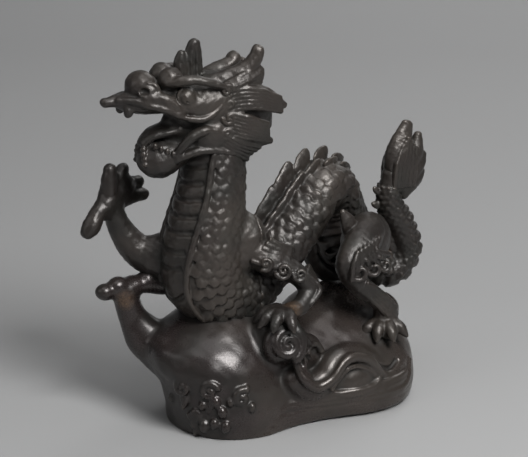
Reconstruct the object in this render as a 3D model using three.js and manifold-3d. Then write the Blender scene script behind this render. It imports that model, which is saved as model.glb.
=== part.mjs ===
import * as THREE from 'three';
import { mergeVertices } from 'three/addons/utils/BufferGeometryUtils.js';
import Module from 'manifold-3d';

// A dragon cast in one piece with the cloud and wave base it stands on.
// Millimetres, +Z up, the head towards -X, the dragon's left side towards -Y.

// Sizes of the casting. The places below are in these same millimetres.
const baseFloor = 0; // the flat underside
const headTurn = -7; // degrees, the head looks a little to the dragon's right
const headCentre = [-20, 1, 98];
const eyeBall = 2.6;
const hornThick = 2.2;
const toeThick = 2.3;
const clawThick = 1.3;
const scrollTube = 2.2;
const ringScrollTube = 1.7;
const ribDepth = 1.5;

const wasm = await Module();
wasm.setup();

const pieces = [];

// One closed three.js geometry as a solid that can be joined to others.
function solid(geometry) {
  const bare = geometry.index ? geometry : mergeVertices(geometry);
  bare.deleteAttribute('normal');
  bare.deleteAttribute('uv');
  const welded = mergeVertices(bare, 1e-4);
  const mesh = new wasm.Mesh({
    numProp: 3,
    vertProperties: new Float32Array(welded.attributes.position.array),
    triVerts: new Uint32Array(welded.index.array),
  });
  return new wasm.Manifold(mesh);
}

function vector(place) {
  return new THREE.Vector3(place[0], place[1], place[2]);
}

// The path of a limb: where it runs, and its half width and half depth at every point.
function path(stations) {
  const line = new THREE.CatmullRomCurve3(stations.map(vector), false, 'centripetal');
  const sizes = stations.map((s) => new THREE.Vector3(s[3], s[4] ?? s[3], 0));
  const girth = new THREE.CatmullRomCurve3(sizes, false, 'centripetal');
  return { line, girth };
}

// The point, the direction, the sideways axis and the back of a path at t from 0 to 1.
function frameAt(way, t, across) {
  const at = way.line.getPoint(t);
  const along = way.line.getTangent(t);
  const side = across.clone().addScaledVector(along, -across.dot(along)).normalize();
  const back = new THREE.Vector3().crossVectors(along, side);
  const size = way.girth.getPoint(t);
  return { at, along, side, back, wide: Math.max(size.x, 0.05), deep: Math.max(size.y, 0.05) };
}

// A round bar bent along a path and swollen to the sizes stated at its stations.
function limb(stations, sides = 7, steps = 6, across = [0, 1, 0]) {
  const way = path(stations);
  const axis = vector(across);
  const geometry = new THREE.CylinderGeometry(1, 1, 1, sides, steps);
  const points = geometry.attributes.position;
  for (let i = 0; i < points.count; i += 1) {
    const f = frameAt(way, points.getY(i) + 0.5, axis);
    const p = f.at
      .clone()
      .addScaledVector(f.side, points.getX(i) * f.wide)
      .addScaledVector(f.back, -points.getZ(i) * f.deep);
    points.setXYZ(i, p.x, p.y, p.z);
  }
  return geometry;
}

// A rounded lump: an ellipsoid turned about x, then y, then z, in degrees.
function lump(at, size, turn = [0, 0, 0], detail = 8) {
  const geometry = new THREE.SphereGeometry(1, detail, Math.round(detail * 0.6));
  geometry.rotateX(Math.PI / 2);
  geometry.scale(size[0], size[1], size[2]);
  geometry.rotateX(THREE.MathUtils.degToRad(turn[0]));
  geometry.rotateY(THREE.MathUtils.degToRad(turn[1]));
  geometry.rotateZ(THREE.MathUtils.degToRad(turn[2]));
  geometry.translate(at[0], at[1], at[2]);
  return geometry;
}

// A flame: a flat leaf that swells from its root and closes in a blunt point.
function flame(root, middle, tip, wide, thick, across = [0, 1, 0]) {
  return limb(
    [
      [...root, thick, wide * 0.75],
      [...middle, thick, wide],
      [...tip, thick * 0.35, wide * 0.3],
    ],
    4,
    2,
    across,
  );
}

// A rolled cloud end: a bar wound into a spiral that lies against the face called facing.
function scroll(centre, outer, turns, tube, facing, start) {
  const out = vector(facing).normalize();
  const right = new THREE.Vector3(0, 0, 1).cross(out).normalize();
  const up = new THREE.Vector3().crossVectors(out, right);
  const stations = [];
  const count = Math.round(turns * 8);
  for (let i = 0; i <= count; i += 1) {
    const share = i / count;
    const angle = THREE.MathUtils.degToRad(start) + share * turns * Math.PI * 2;
    const radius = outer * (1 - share * 0.85);
    const p = vector(centre)
      .addScaledVector(right, Math.cos(angle) * radius)
      .addScaledVector(up, Math.sin(angle) * radius);
    stations.push([p.x, p.y, p.z, tube * (1 - share * 0.3)]);
  }
  return limb(stations, 5, count, facing);
}

function add(geometry) {
  pieces.push(solid(geometry));
}

// The base: two cloud mounds that share one kidney-shaped foot.

// A mound as stacked rounds: each has its height, middle and half sizes.
function mound(rounds, sides = 16) {
  const geometry = new THREE.CylinderGeometry(1, 1, 1, sides, rounds.length - 1);
  const points = geometry.attributes.position;
  for (let i = 0; i < points.count; i += 1) {
    const level = (points.getY(i) + 0.5) * (rounds.length - 1);
    const low = rounds[Math.min(Math.round(level), rounds.length - 1)];
    const x = low[1] + points.getX(i) * low[3];
    const y = low[2] - points.getZ(i) * low[4];
    points.setXYZ(i, x, y, low[0]);
  }
  return geometry;
}

add(
  mound([
    [-2, -17.5, -6, 18.5, 20.5],
    [5, -17.5, -6, 19, 21],
    [13, -18, -4.6, 20, 21],
    [20, -19.5, -3, 21.5, 20.5],
    [26, -20.5, -1.6, 22, 19],
    [31, -20.5, 0, 19, 15.5],
    [35, -20, 0, 13, 11],
  ]),
);
add(
  mound([
    [-2, 24.5, -6, 23, 23.5],
    [5, 25, -6, 24, 24.5],
    [12, 25.5, -4.6, 24, 23.5],
    [18, 26, -2.4, 22.5, 21],
    [23.5, 26.5, 0, 19.5, 17.5],
    [28, 27, 2, 15, 12.5],
    [31, 27, 3, 8.5, 7],
  ]),
);
add(lump([0, -3, 4], [22, 22, 19], [0, 0, 0], 14));

// The cloud pillar at the front of the far side, and the arm of cloud that props the chest.
add(
  limb(
    [
      [-32, 7, 19, 7, 7],
      [-37.5, 9.5, 25.5, 5.4, 6.6],
      [-41, 11.6, 32, 4, 4.6],
      [-43.2, 12.5, 40, 4, 4],
    ],
    8,
    6,
  ),
);
add(
  limb(
    [
      [-52, 12, 42, 1.2, 1.2],
      [-49, 12, 42.3, 3, 2.4],
      [-43, 12.5, 42, 4.4, 3.6],
      [-37, 12.3, 42, 4, 3.2],
      [-30, 11, 41.5, 4.5, 3.8],
      [-24, 9, 42, 5, 5],
    ],
    8,
    9,
  ),
);

// The trunk: neck, chest, hump, hips and tail as one body.
const trunkStations = [
  [-15.5, 1, 92, 7.5, 7.5],
  [-17.4, 1, 84, 9, 9.2],
  [-18.9, 0.4, 75, 9.8, 10],
  [-20.6, 0, 65, 11.2, 11.4],
  [-22.2, 0, 55, 12.4, 12.6],
  [-22, 0, 45, 12.6, 12.6],
  [-15, 0.2, 38.5, 11.8, 11],
  [-4.5, 1, 41, 10.4, 9.6],
  [5, 2, 48, 9.6, 9.2],
  [14, 3, 56.5, 9.3, 9],
  [22, 5, 63.5, 9, 8.8],
  [30, 9, 63, 8.8, 8.4],
  [35.5, 12, 55, 8.8, 8.2],
  [39, 10.5, 45, 9, 8.4],
  [44, 6, 36.5, 8, 7.4],
  [51.5, 2, 33.5, 5.6, 5.4],
  [56, 0, 40, 4.6, 4.8],
  [53.5, 0, 49, 4.2, 4.8],
  [48.6, 0, 58, 3.9, 4.6],
  [49, 0, 67, 3.2, 3.6],
];
add(limb(trunkStations, 12, 30));

// The row of flames along the back, from the neck over the hump and up the tail.
const trunk = path(trunkStations);
const sideways = new THREE.Vector3(0, 1, 0);

function backFlames(from, to, count, height, width, lean, across = sideways) {
  for (let i = 0; i < count; i += 1) {
    const share = count > 1 ? i / (count - 1) : 0;
    const f = frameAt(trunk, from + (to - from) * share, across);
    const tall = height * (0.8 + 0.2 * Math.sin(Math.PI * share));
    const root = f.at.clone().addScaledVector(f.back, f.deep * 0.7);
    const middle = f.at
      .clone()
      .addScaledVector(f.back, f.deep + tall * 0.45)
      .addScaledVector(f.along, lean * 0.3);
    const tip = f.at
      .clone()
      .addScaledVector(f.back, f.deep + tall)
      .addScaledVector(f.along, lean);
    add(flame(root.toArray(), middle.toArray(), tip.toArray(), width, 1.5));
  }
}
backFlames(0.08, 0.28, 5, 1.8, 2.8, 1.4);
backFlames(0.4, 0.54, 6, 7.4, 3.8, 4.5);
backFlames(0.6, 0.72, 3, 3.2, 3.4, 2, new THREE.Vector3(-0.9, 0.5, 0));
backFlames(0.86, 0.97, 4, 2.8, 2.4, 1.6);

// The tail ends in a brush of flames.
for (const [x, z, tipX, tipZ, wide] of [
  [50.5, 66, 54.5, 83.5, 4.4],
  [49.5, 66, 50.5, 79, 3],
  [52.5, 66, 59, 79, 3.2],
  [53, 65, 61, 72.5, 2.6],
  [53, 63, 60.5, 67, 2.4],
]) {
  const bulge = x > 51 ? 1.6 : -0.8;
  add(
    flame([x, 0, z - 3], [(x + tipX) / 2 + bulge, 0, (z + tipZ) / 2], [tipX, 0, tipZ], wide, 3),
  );
}

// The head, built about its own middle and then turned and set on the neck.
const headSet = new THREE.Matrix4()
  .makeRotationZ(THREE.MathUtils.degToRad(headTurn))
  .setPosition(headCentre[0], headCentre[1], headCentre[2]);

function addHead(geometry) {
  add(geometry.applyMatrix4(headSet));
}

addHead(lump([0, 0, 3], [13, 9.5, 9]));
addHead(
  limb(
    [
      [0, 0, 4, 9, 7],
      [-10, 0, 4.8, 8.6, 5.4],
      [-18, 0, 5, 7.2, 3.8],
      [-25, 0, 5.2, 5, 2.8],
      [-30, 0, 5.6, 3.2, 1.7],
      [-32.2, 0, 5.8, 1.6, 1],
    ],
    10,
    7,
  ),
);
addHead(lump([-20, 0, 9], [5, 5.5, 4.4]));
addHead(
  limb(
    [
      [2, 0, -7, 8, 5],
      [-7, 0, -9.5, 6.8, 3.4],
      [-14.5, 0, -13, 6.6, 5.6],
      [-19.5, 0, -14, 4.6, 4.4],
      [-22, 0, -14, 1.5, 1.5],
    ],
    10,
    7,
  ),
);
addHead(lump([-8.5, 0, -3.5], [8, 5, 5.5]));
addHead(limb([[-8, 0, -5, 4.4, 1.8], [-14, 0, -7, 3.6, 1.6], [-17.5, 0, -6, 2, 1]], 7, 4));

// The crest on the forehead has two points.
addHead(flame([-4, 0, 9], [-4.6, 0, 15], [-3.7, 0, 22], 3, 2));
addHead(flame([-6.5, 0, 9], [-7.4, 0, 14], [-8, 0, 18.6], 2.2, 1.7));

for (const side of [-1, 1]) {
  // Nostril, eye, brow, cheek and jaw of this side.
  addHead(lump([-21.5, side * 3.6, 8], [3.6, 2.6, 3.4], [0, 0, 0], 10));
  addHead(lump([-27, side * 3.4, 2.6], [2, 1.6, 2], [0, 0, 0], 8));
  addHead(lump([-10, side * 7.2, 6.8], [eyeBall, eyeBall, eyeBall], [0, 0, 0], 10));
  addHead(
    limb(
      [
        [-14, side * 6.8, 8.4, 1.2],
        [-9.5, side * 7.4, 10.6, 2.2, 1.8],
        [-4, side * 7.8, 10.8, 2.4, 1.8],
        [2, side * 8.6, 8, 1.6, 1.3],
      ],
      6,
      5,
    ),
  );
  addHead(lump([-5, side * 7.2, 2.6], [7, 3.2, 3.4], [0, 12, 0]));
  addHead(lump([-1.5, side * 6.6, -5.4], [6, 3.6, 5], [0, 0, 0]));

  // Horn, ear and the locks of the mane.
  addHead(
    limb(
      [
        [2, side * 4, 9, 3],
        [8, side * 5, 11.4 - side * 0.6, hornThick],
        [12 - side, side * 6, 13.6 - side * 1.2, hornThick],
        [13.6 - side * 1.6, side * 6.4, 16.6 - side * 1.8, hornThick * 0.9],
      ],
      7,
      5,
    ),
  );
  addHead(flame([6, side * 7, 5], [11, side * 8.4, 9], [15, side * 8.4, 14.5], 3, 2));
  addHead(flame([4, side * 6.5, 2], [14, side * 8.6, 3.4], [23.4, side * 7.6, 0.6], 4, 2.2));
  addHead(flame([3, side * 6.5, -4], [12, side * 8, -6], [19, side * 7.4, -10.6], 4.4, 2.4));
  addHead(flame([1, side * 6, -7], [6, side * 7.6, -11.4], [11, side * 6.6, -15.4], 3.4, 2.2));
}
addHead(limb([[4, 0, 2, 8, 8], [11, 0, 1, 7.6, 7], [17, 0, -2, 5, 5], [20, 0, -4, 2, 2]], 8, 4));

// A paw: toes that fan from one point, each ending in a bent claw.
function paw(at, heading, spread, reach, drop) {
  const turns = spread.map((turn) => THREE.MathUtils.degToRad(heading + turn));
  for (const turn of turns) {
    const x = Math.cos(turn);
    const y = Math.sin(turn);
    const across = [-y, x, 0];
    add(
      limb(
        [
          [at[0] - x, at[1] - y, at[2], toeThick],
          [at[0] + x * reach * 0.45, at[1] + y * reach * 0.45, at[2] + 0.6, toeThick],
          [at[0] + x * reach * 0.8, at[1] + y * reach * 0.8, at[2] - drop * 0.4, clawThick * 1.2],
          [at[0] + x * reach, at[1] + y * reach, at[2] - drop, 0.5],
        ],
        4,
        3,
        across,
      ),
    );
  }
}

// The raised right foreleg with its open hand.
add(
  limb(
    [
      [-20, 6, 52, 8, 8],
      [-29, 11, 50, 6.8, 7.6],
      [-36, 14.5, 51.5, 5, 5.4],
      [-40.5, 16.2, 57, 4, 4.3],
      [-43.4, 17, 63.5, 3.4, 3.5],
      [-45, 17, 70, 3, 4.2],
      [-45.5, 17, 73.5, 2, 3],
    ],
    8,
    8,
  ),
);
for (const [x, y, z, tipX, tipY, tipZ] of [
  [-46, 16, 71, -45.4, 16, 79.4],
  [-43.5, 17.5, 71, -40, 18, 78.2],
  [-42, 18.4, 70, -33.8, 20, 72.8],
  [-42, 18, 67.6, -33, 18.4, 69],
]) {
  const middle = [(x + tipX) / 2, (y + tipY) / 2, (z + tipZ) / 2 + 0.8];
  add(
    limb(
      [
        [x, y, z, 2],
        [...middle, 1.9],
        [tipX, tipY, tipZ, 1.1],
      ],
      5,
      3,
      [0.3, 1, 0.2],
    ),
  );
}
add(limb([[-46, 16, 69.5, 2.6], [-50.5, 15, 66.5, 2.4], [-53.6, 14.2, 62.6, 2.6], [-55.5, 14, 61, 1.2]], 6, 5));

// The left foreleg, its paw spread on the cloud.
add(lump([-10.5, -5.5, 55.5], [6.5, 6.5, 9.5], [0, 14, 0]));
add(
  limb(
    [
      [-9.5, -8, 54, 4.6, 5],
      [-3.5, -12, 49.2, 4.3, 4.4],
      [3.2, -14.6, 45.4, 3.6, 3.4],
      [5.8, -16.4, 40.4, 3.1, 3.1],
      [1.6, -18.6, 36.8, 2.9, 2.9],
      [-4, -19.8, 36, 3, 2.6],
    ],
    8,
    9,
  ),
);
paw([-5, -20, 35.6], 180, [-35, 0, 35, 75], 9, 2.4);
add(limb([[-6, -16, 24, 8, 8], [-6, -17, 30, 8.5, 7], [-6, -18, 34.5, 5, 4]], 8, 4));

// The left hind leg: thigh, tuft of hair at the knee, shin and foot.
add(lump([34, -7, 49], [8.5, 7, 9.5], [0, 20, 0]));
add(
  limb(
    [
      [34, -8, 52, 6, 6.5],
      [27, -13, 49.5, 5.4, 5.6],
      [21.5, -16, 45, 4, 4.4],
      [25, -17, 38.5, 3.6, 3.6],
      [31, -17, 33.4, 3.4, 3.2],
      [35, -16.8, 28.4, 3.4, 3.2],
      [34, -17, 23, 3.8, 3.4],
    ],
    8,
    9,
  ),
);
paw([34, -17.4, 23.4], 215, [-35, 5, 45, 90], 8, 2.4);
add(flame([27, -8, 54], [25.5, -9, 57.5], [23.5, -9, 61], 3, 2));

// The right hind leg stands on the far side.
add(lump([38, 13.5, 43], [8, 6, 9], [0, 20, 0]));
add(
  limb(
    [
      [38, 16, 45, 5.4, 6],
      [31.5, 18.4, 40.5, 4, 4.4],
      [32.5, 18, 34, 3.6, 3.6],
      [37.5, 15.4, 28.6, 3.6, 3.4],
      [38, 13.6, 22, 3.6, 3.4],
    ],
    8,
    8,
  ),
);
paw([37.5, 14, 24.6], 155, [-45, 0, 45], 8, 2.6);

// Rolled cloud ends and the wave that runs round the front of the base.
add(scroll([-7.5, -24.5, 28], 5.4, 1.5, scrollTube, [-0.2, -1, 0.35], -60));
add(scroll([2, -22.6, 23.2], 2.8, 1, ringScrollTube, [0, -1, 0.4], 0));
add(lump([2, -20, 22], [6, 4.5, 6]));
add(
  limb(
    [
      [-4.6, -26, 21.5, 1.6],
      [-3, -27.6, 16, 1.8],
      [2, -29, 13.2, 1.8],
      [8, -29, 16.4, 1.8],
      [14, -27.6, 19.6, 1.8],
      [21, -27.4, 18, 1.8],
      [27, -26.6, 12.4, 1.7],
      [35, -24, 7, 1.5],
    ],
    5,
    14,
    [0, 0, 1],
  ),
);
add(lump([17, -25, 11], [7.5, 6, 6.5]));

// Long ripples, one over another, round the foot between the two mounds.
for (let i = 0; i < 2; i += 1) {
  const z = 4 + i * 5;
  const inset = i * 0.7;
  add(
    limb(
      [
        [-20, -24.6 + inset, z, 0.8],
        [-8, -24.6 + inset, z + 0.4, ribDepth],
        [6, -28 + inset, z + 1, ribDepth],
        [22, -29.6 + inset, z + 0.6, ribDepth],
        [38, -25.6 + inset, z, 0.8],
      ],
      4,
      8,
      [0, 0, 1],
    ),
  );
}

// Curls of spray on the front of the left mound.
for (const [around, z, size] of [
  [205, 13, 2.4],
  [217, 9, 2],
  [229, 14, 2.4],
  [236, 6.5, 2.4],
  [246, 11, 2.2],
  [257, 14.5, 2.2],
]) {
  const turn = THREE.MathUtils.degToRad(around);
  const at = [-18.8 + Math.cos(turn) * 19.8, -4.2 + Math.sin(turn) * 20.6, z];
  add(lump(at, [size, size, size], [0, 0, 0], 6));
}

// One casting, cut flat underneath.
const whole = wasm.Manifold.union(pieces);
const floorCut = new THREE.BoxGeometry(200, 200, 40);
floorCut.translate(0, 0, baseFloor - 20);
const casting = whole.subtract(solid(floorCut));

const made = casting.getMesh();
const geometry = new THREE.BufferGeometry();
geometry.setAttribute('position', new THREE.BufferAttribute(made.vertProperties, 3));
geometry.setIndex(new THREE.BufferAttribute(made.triVerts, 1));
const skin = geometry.toNonIndexed();
skin.computeVertexNormals();
skin.computeBoundingBox();

// The origin is the middle of the box the casting fills, at the floor.
const box = skin.boundingBox;
skin.translate(-(box.min.x + box.max.x) / 2, -(box.min.y + box.max.y) / 2, -box.min.z);

const bronze = new THREE.MeshStandardMaterial({ color: 0x3a2f2b, roughness: 0.42, metalness: 0.7 });
const dragon = new THREE.Mesh(skin, bronze);
dragon.name = 'dragon_on_cloud_base';

const group = new THREE.Group();
group.add(dragon);
export default group;
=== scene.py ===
import math
import bpy
import numpy as np
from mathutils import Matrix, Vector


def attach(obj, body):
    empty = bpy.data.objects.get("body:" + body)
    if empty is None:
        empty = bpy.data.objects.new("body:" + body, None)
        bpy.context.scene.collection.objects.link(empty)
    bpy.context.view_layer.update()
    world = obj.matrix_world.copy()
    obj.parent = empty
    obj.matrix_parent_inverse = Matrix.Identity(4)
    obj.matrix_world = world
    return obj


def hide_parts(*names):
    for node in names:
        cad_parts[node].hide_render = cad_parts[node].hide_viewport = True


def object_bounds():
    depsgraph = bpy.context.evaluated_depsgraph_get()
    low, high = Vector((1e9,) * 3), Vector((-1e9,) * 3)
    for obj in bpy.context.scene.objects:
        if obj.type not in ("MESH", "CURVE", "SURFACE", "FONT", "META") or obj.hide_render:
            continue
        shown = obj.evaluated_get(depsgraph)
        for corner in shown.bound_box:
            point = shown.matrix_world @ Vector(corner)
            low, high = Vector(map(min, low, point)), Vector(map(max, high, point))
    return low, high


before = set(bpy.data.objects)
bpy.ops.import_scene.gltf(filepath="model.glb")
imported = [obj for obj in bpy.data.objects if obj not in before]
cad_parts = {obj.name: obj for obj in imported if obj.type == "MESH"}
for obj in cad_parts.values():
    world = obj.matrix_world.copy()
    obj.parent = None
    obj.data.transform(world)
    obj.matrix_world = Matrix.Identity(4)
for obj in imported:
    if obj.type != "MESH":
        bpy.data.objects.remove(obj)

import openvdb as vdb
from mathutils import Vector

print("dragon: frame loaded")

# The casting is modelled like clay, in its maker's millimetres, and every finished
# piece is then set on the frame. The head looks towards -X, its left side is at -Y.
casting = {
    "height": 120.115,  # floor to the tip of the crest
    "middle": (2.692, -4.367),  # where the middle of its box lies
    "node": "dragon_on_cloud_base",
    "finish": "patinated_bronze",
    "coarser": 1.0,  # a rougher grain while other things are worked on
}
cadLow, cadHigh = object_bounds()
cadMiddle = (cadLow + cadHigh) / 2
mm = (cadHigh.z - cadLow.z) / casting["height"]
farAway = 40.0
sideways = np.array([0.0, 1.0, 0.0])


def onFrame(points):
    points = np.asarray(points, float) - [*casting["middle"], 0.0]
    return points * mm + [cadMiddle.x, cadMiddle.y, cadLow.z]


def unit(v):
    v = np.asarray(v, float)
    return v / np.maximum(np.linalg.norm(v, axis=-1, keepdims=True), 1e-9)


def even(rows):
    # a row that gives one size has it both ways
    longest = max(len(row) for row in rows)
    return np.array([[*row, *[row[-1]] * (longest - len(row))] for row in rows], float)


def spline(stations, spacing=0.8):
    # a smooth line through the stations; columns after x, y, z are sizes that ride along
    knots = even(stations)
    ends = [2 * knots[0] - knots[1]], [2 * knots[-1] - knots[-2]]
    knots = np.concatenate([ends[0], knots, ends[1]])
    rows = []
    for i in range(1, len(knots) - 2):
        p0, p1, p2, p3 = knots[i - 1: i + 3]
        d0, d1, d2 = (
            max(np.linalg.norm((b - a)[:3]) ** 0.5, 1e-3) for a, b in ((p0, p1), (p1, p2), (p2, p3))
        )
        m1 = ((p1 - p0) / d0 - (p2 - p0) / (d0 + d1) + (p2 - p1) / d1) * d1
        m2 = ((p2 - p1) / d1 - (p3 - p1) / (d1 + d2) + (p3 - p2) / d2) * d1
        t = np.linspace(0, 1, 24, endpoint=False)[:, None]
        rows.append(
            p1 * (2 * t**3 - 3 * t**2 + 1) + m1 * (t**3 - 2 * t**2 + t)
            + p2 * (3 * t**2 - 2 * t**3) + m2 * (t**3 - t**2)
        )
    line = np.concatenate(rows + [knots[-2:-1]])
    run = np.concatenate([[0], np.cumsum(np.linalg.norm(np.diff(line[:, :3], axis=0), axis=1))])
    steps = np.linspace(0, run[-1], max(int(run[-1] / spacing), 2) + 1)
    return np.stack([np.interp(steps, run, line[:, k]) for k in range(line.shape[1])], 1)


def railOf(stations, spacing=0.8, across=sideways):
    # points of a path with their directions: along it, to its side and to its back
    line = spline(stations, spacing)
    at = line[:, :3]
    along = unit(np.gradient(at, axis=0))
    across = np.broadcast_to(np.asarray(across, float), at.shape)
    side = unit(across - along * (across * along).sum(1, keepdims=True))
    back = np.cross(along, side)
    wide = np.maximum(line[:, 3], 0.02)
    deep = np.maximum(line[:, 4], 0.02) if line.shape[1] > 4 else wide
    run = np.concatenate([[0], np.cumsum(np.linalg.norm(np.diff(at, axis=0), axis=1))])
    return {"at": at, "along": along, "side": side, "back": back, "wide": wide, "deep": deep, "run": run}


def pick(rail, run):
    # the rail's values at one or more lengths along it
    run = np.asarray(run, float)
    out = {}
    for key, value in rail.items():
        if value.ndim == 1:
            out[key] = np.interp(run, rail["run"], value)
        else:
            out[key] = np.stack([np.interp(run, rail["run"], value[:, k]) for k in range(3)], -1)
    for key in ("along", "side", "back"):
        out[key] = unit(out[key])
    return out


class ClayBlock:
    def __init__(self, low, high, cell, parts):
        self.cell = cell
        self.start = np.floor(np.array(low, float) / cell).astype(int)
        stop = np.ceil(np.array(high, float) / cell).astype(int)
        self.shape = tuple(int(n) for n in stop - self.start + 1)
        self.clay = {part: np.full(self.shape, farAway, np.float32) for part in parts}

    def window(self, low, high):
        first = np.floor(np.asarray(low) / self.cell).astype(int) - self.start
        last = np.ceil(np.asarray(high) / self.cell).astype(int) - self.start + 1
        first, last = np.clip(first, 0, self.shape), np.clip(last, 0, self.shape)
        if (last <= first).any():
            return None
        return tuple(slice(int(a), int(b)) for a, b in zip(first, last))

    def axes(self, window):
        rows = [
            ((np.arange(w.start, w.stop) + s) * self.cell).astype(np.float32)
            for w, s in zip(window, self.start)
        ]
        return rows[0][:, None, None], rows[1][None, :, None], rows[2][None, None, :]

    def lay(self, tool):
        if tool["part"] not in self.clay:
            return
        window = self.window(tool["low"], tool["high"])
        if window is None:
            return
        shape = tool["shape"](self, window)
        clay = self.clay[tool["part"]][window]
        if tool["cut"]:
            clay[...] = -softMin(-clay, shape, tool["blend"])
        else:
            clay[...] = softMin(clay, shape, tool["blend"])


def softMin(a, b, blend):
    if blend <= 0:
        return np.minimum(a, b)
    h = np.maximum(blend - np.abs(a - b), 0) / blend
    return np.minimum(a, b) - h * h * (blend / 4)


tools = []  # everything laid on or cut from the clay, in order


def note(part, shape, low, high, blend, cut):
    room = max(blend, 2.5) + 0.8
    tools.append({
        "part": part, "shape": shape, "blend": blend, "cut": cut,
        "low": np.asarray(low, float) - room, "high": np.asarray(high, float) + room,
    })


def filled(low, high, cell, parts):
    # a block with everything laid on it and cut from it, in order
    block = ClayBlock(low, high, cell, parts)
    for tool in tools:
        block.lay(tool)
    return block


def lobeDistance(x, y, z, size):
    # how far points lie outside an ellipsoid about the origin
    k0 = np.sqrt((x / size[0]) ** 2 + (y / size[1]) ** 2 + (z / size[2]) ** 2 + 1e-6)
    small = min(size)
    k1 = np.sqrt(
        (x / size[0] ** 2) ** 2 + (y / size[1] ** 2) ** 2 + (z / size[2] ** 2) ** 2 + 1e-6 / small**2
    )
    return k0 * (k0 - 1) / k1


def turnMatrix(turn):
    x, y, z = (math.radians(t) for t in turn)
    rx = np.array([[1, 0, 0], [0, math.cos(x), -math.sin(x)], [0, math.sin(x), math.cos(x)]])
    ry = np.array([[math.cos(y), 0, math.sin(y)], [0, 1, 0], [-math.sin(y), 0, math.cos(y)]])
    rz = np.array([[math.cos(z), -math.sin(z), 0], [math.sin(z), math.cos(z), 0], [0, 0, 1]])
    return rz @ ry @ rx


def lobe(part, at, size, turn=(0, 0, 0), blend=1.0, cut=False):
    axes = turnMatrix(turn).astype(np.float32)
    at = np.asarray(at, float)

    def shape(block, window):
        x, y, z = (a - np.float32(c) for a, c in zip(block.axes(window), at))
        local = [axes[0, k] * x + axes[1, k] * y + axes[2, k] * z for k in range(3)]
        return lobeDistance(*local, [np.float32(s) for s in size])

    reach = np.abs(axes) @ np.asarray(size, float)
    note(part, shape, at - reach, at + reach, blend, cut)


def barAlong(part, rail, blend=0.6, cut=False):
    # a bar with an oval section that swells and narrows along a rail
    at, along, side, back = rail["at"], rail["along"], rail["side"], rail["back"]
    wide, deep = rail["wide"], rail["deep"]
    reach = np.maximum(wide, deep)
    isRound = bool(np.allclose(wide, deep))

    def shape(block, window):
        field = np.full([w.stop - w.start for w in window], farAway, np.float32)
        room = max(blend, 2.5) + 0.8
        for i in range(len(at) - 1):
            far = max(reach[i], reach[i + 1]) + room
            part1 = block.window(np.minimum(at[i], at[i + 1]) - far, np.maximum(at[i], at[i + 1]) + far)
            if part1 is None:
                continue
            sub = tuple(slice(max(a.start, w.start), min(a.stop, w.stop)) for a, w in zip(part1, window))
            if any(s.stop <= s.start for s in sub):
                continue
            step = (at[i + 1] - at[i]).astype(np.float32)
            dx, dy, dz = (a - np.float32(c) for a, c in zip(block.axes(sub), at[i]))
            t = np.clip((dx * step[0] + dy * step[1] + dz * step[2]) / np.float32(step @ step + 1e-9), 0, 1)
            ox, oy, oz = dx - t * step[0], dy - t * step[1], dz - t * step[2]
            w = np.float32(wide[i]) + t * np.float32(wide[i + 1] - wide[i])
            if isRound:
                d = np.sqrt(ox * ox + oy * oy + oz * oz) - w
            else:
                s, b = side[i].astype(np.float32), back[i].astype(np.float32)
                g = along[i].astype(np.float32)
                deepHere = np.float32(deep[i]) + t * np.float32(deep[i + 1] - deep[i])
                d = lobeDistanceVarying(
                    ox * s[0] + oy * s[1] + oz * s[2], ox * b[0] + oy * b[1] + oz * b[2],
                    ox * g[0] + oy * g[1] + oz * g[2], w, deepHere,
                )
            place = tuple(slice(s.start - w0.start, s.stop - w0.start) for s, w0 in zip(sub, window))
            field[place] = np.minimum(field[place], d)
        return field

    pad = reach[:, None]
    note(part, shape, (at - pad).min(0), (at + pad).max(0), blend, cut)


def lobeDistanceVarying(u, v, w, wide, deep):
    cap = np.minimum(wide, deep)
    a, b, c = u / wide, v / deep, w / cap
    k0 = np.sqrt(a * a + b * b + c * c + 1e-6)
    a, b, c = a / wide, b / deep, c / cap
    k1 = np.sqrt(a * a + b * b + c * c + 1e-6 / (cap * cap))
    return k0 * (k0 - 1) / k1


def bar(part, stations, blend=0.6, cut=False, across=sideways, spacing=0.8):
    barAlong(part, railOf(stations, spacing, across), blend, cut)


def moundOf(part, rounds, blend=2.0):
    # a mound turned from stacked ovals: height, middle x and y, half sizes
    keys = np.array(rounds, float)
    heights = np.arange(keys[0, 0], keys[-1, 0] + 0.01, 0.25)
    smooth = [monotone(keys[:, 0], keys[:, k], heights) for k in range(1, 5)]
    slope = np.gradient((smooth[2] + smooth[3]) / 2, heights)

    def shape(block, window):
        x, y, z = block.axes(window)
        level = np.clip(z, heights[0], heights[-1]).ravel()
        cx, cy, hx, hy, lean = (
            np.interp(level, heights, values).astype(np.float32)[None, None, :] for values in (*smooth,
                                                                                               slope)
        )
        dx, dy = (x - cx) / hx, (y - cy) / hy
        k0 = np.sqrt(dx * dx + dy * dy + 1e-6)
        k1 = np.sqrt((dx / hx) ** 2 + (dy / hy) ** 2 + 1e-6 / (hx * hx))
        d = k0 * (k0 - 1) / k1 / np.sqrt(1 + np.minimum(lean * lean, 30))
        return np.maximum(d, z - np.float32(keys[-1, 0]))

    reach = keys[:, 3:5]
    low = [*(keys[:, 1:3] - reach).min(0), keys[0, 0]]
    high = [*(keys[:, 1:3] + reach).max(0), keys[-1, 0]]
    note(part, shape, low, high, blend, False)


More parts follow.
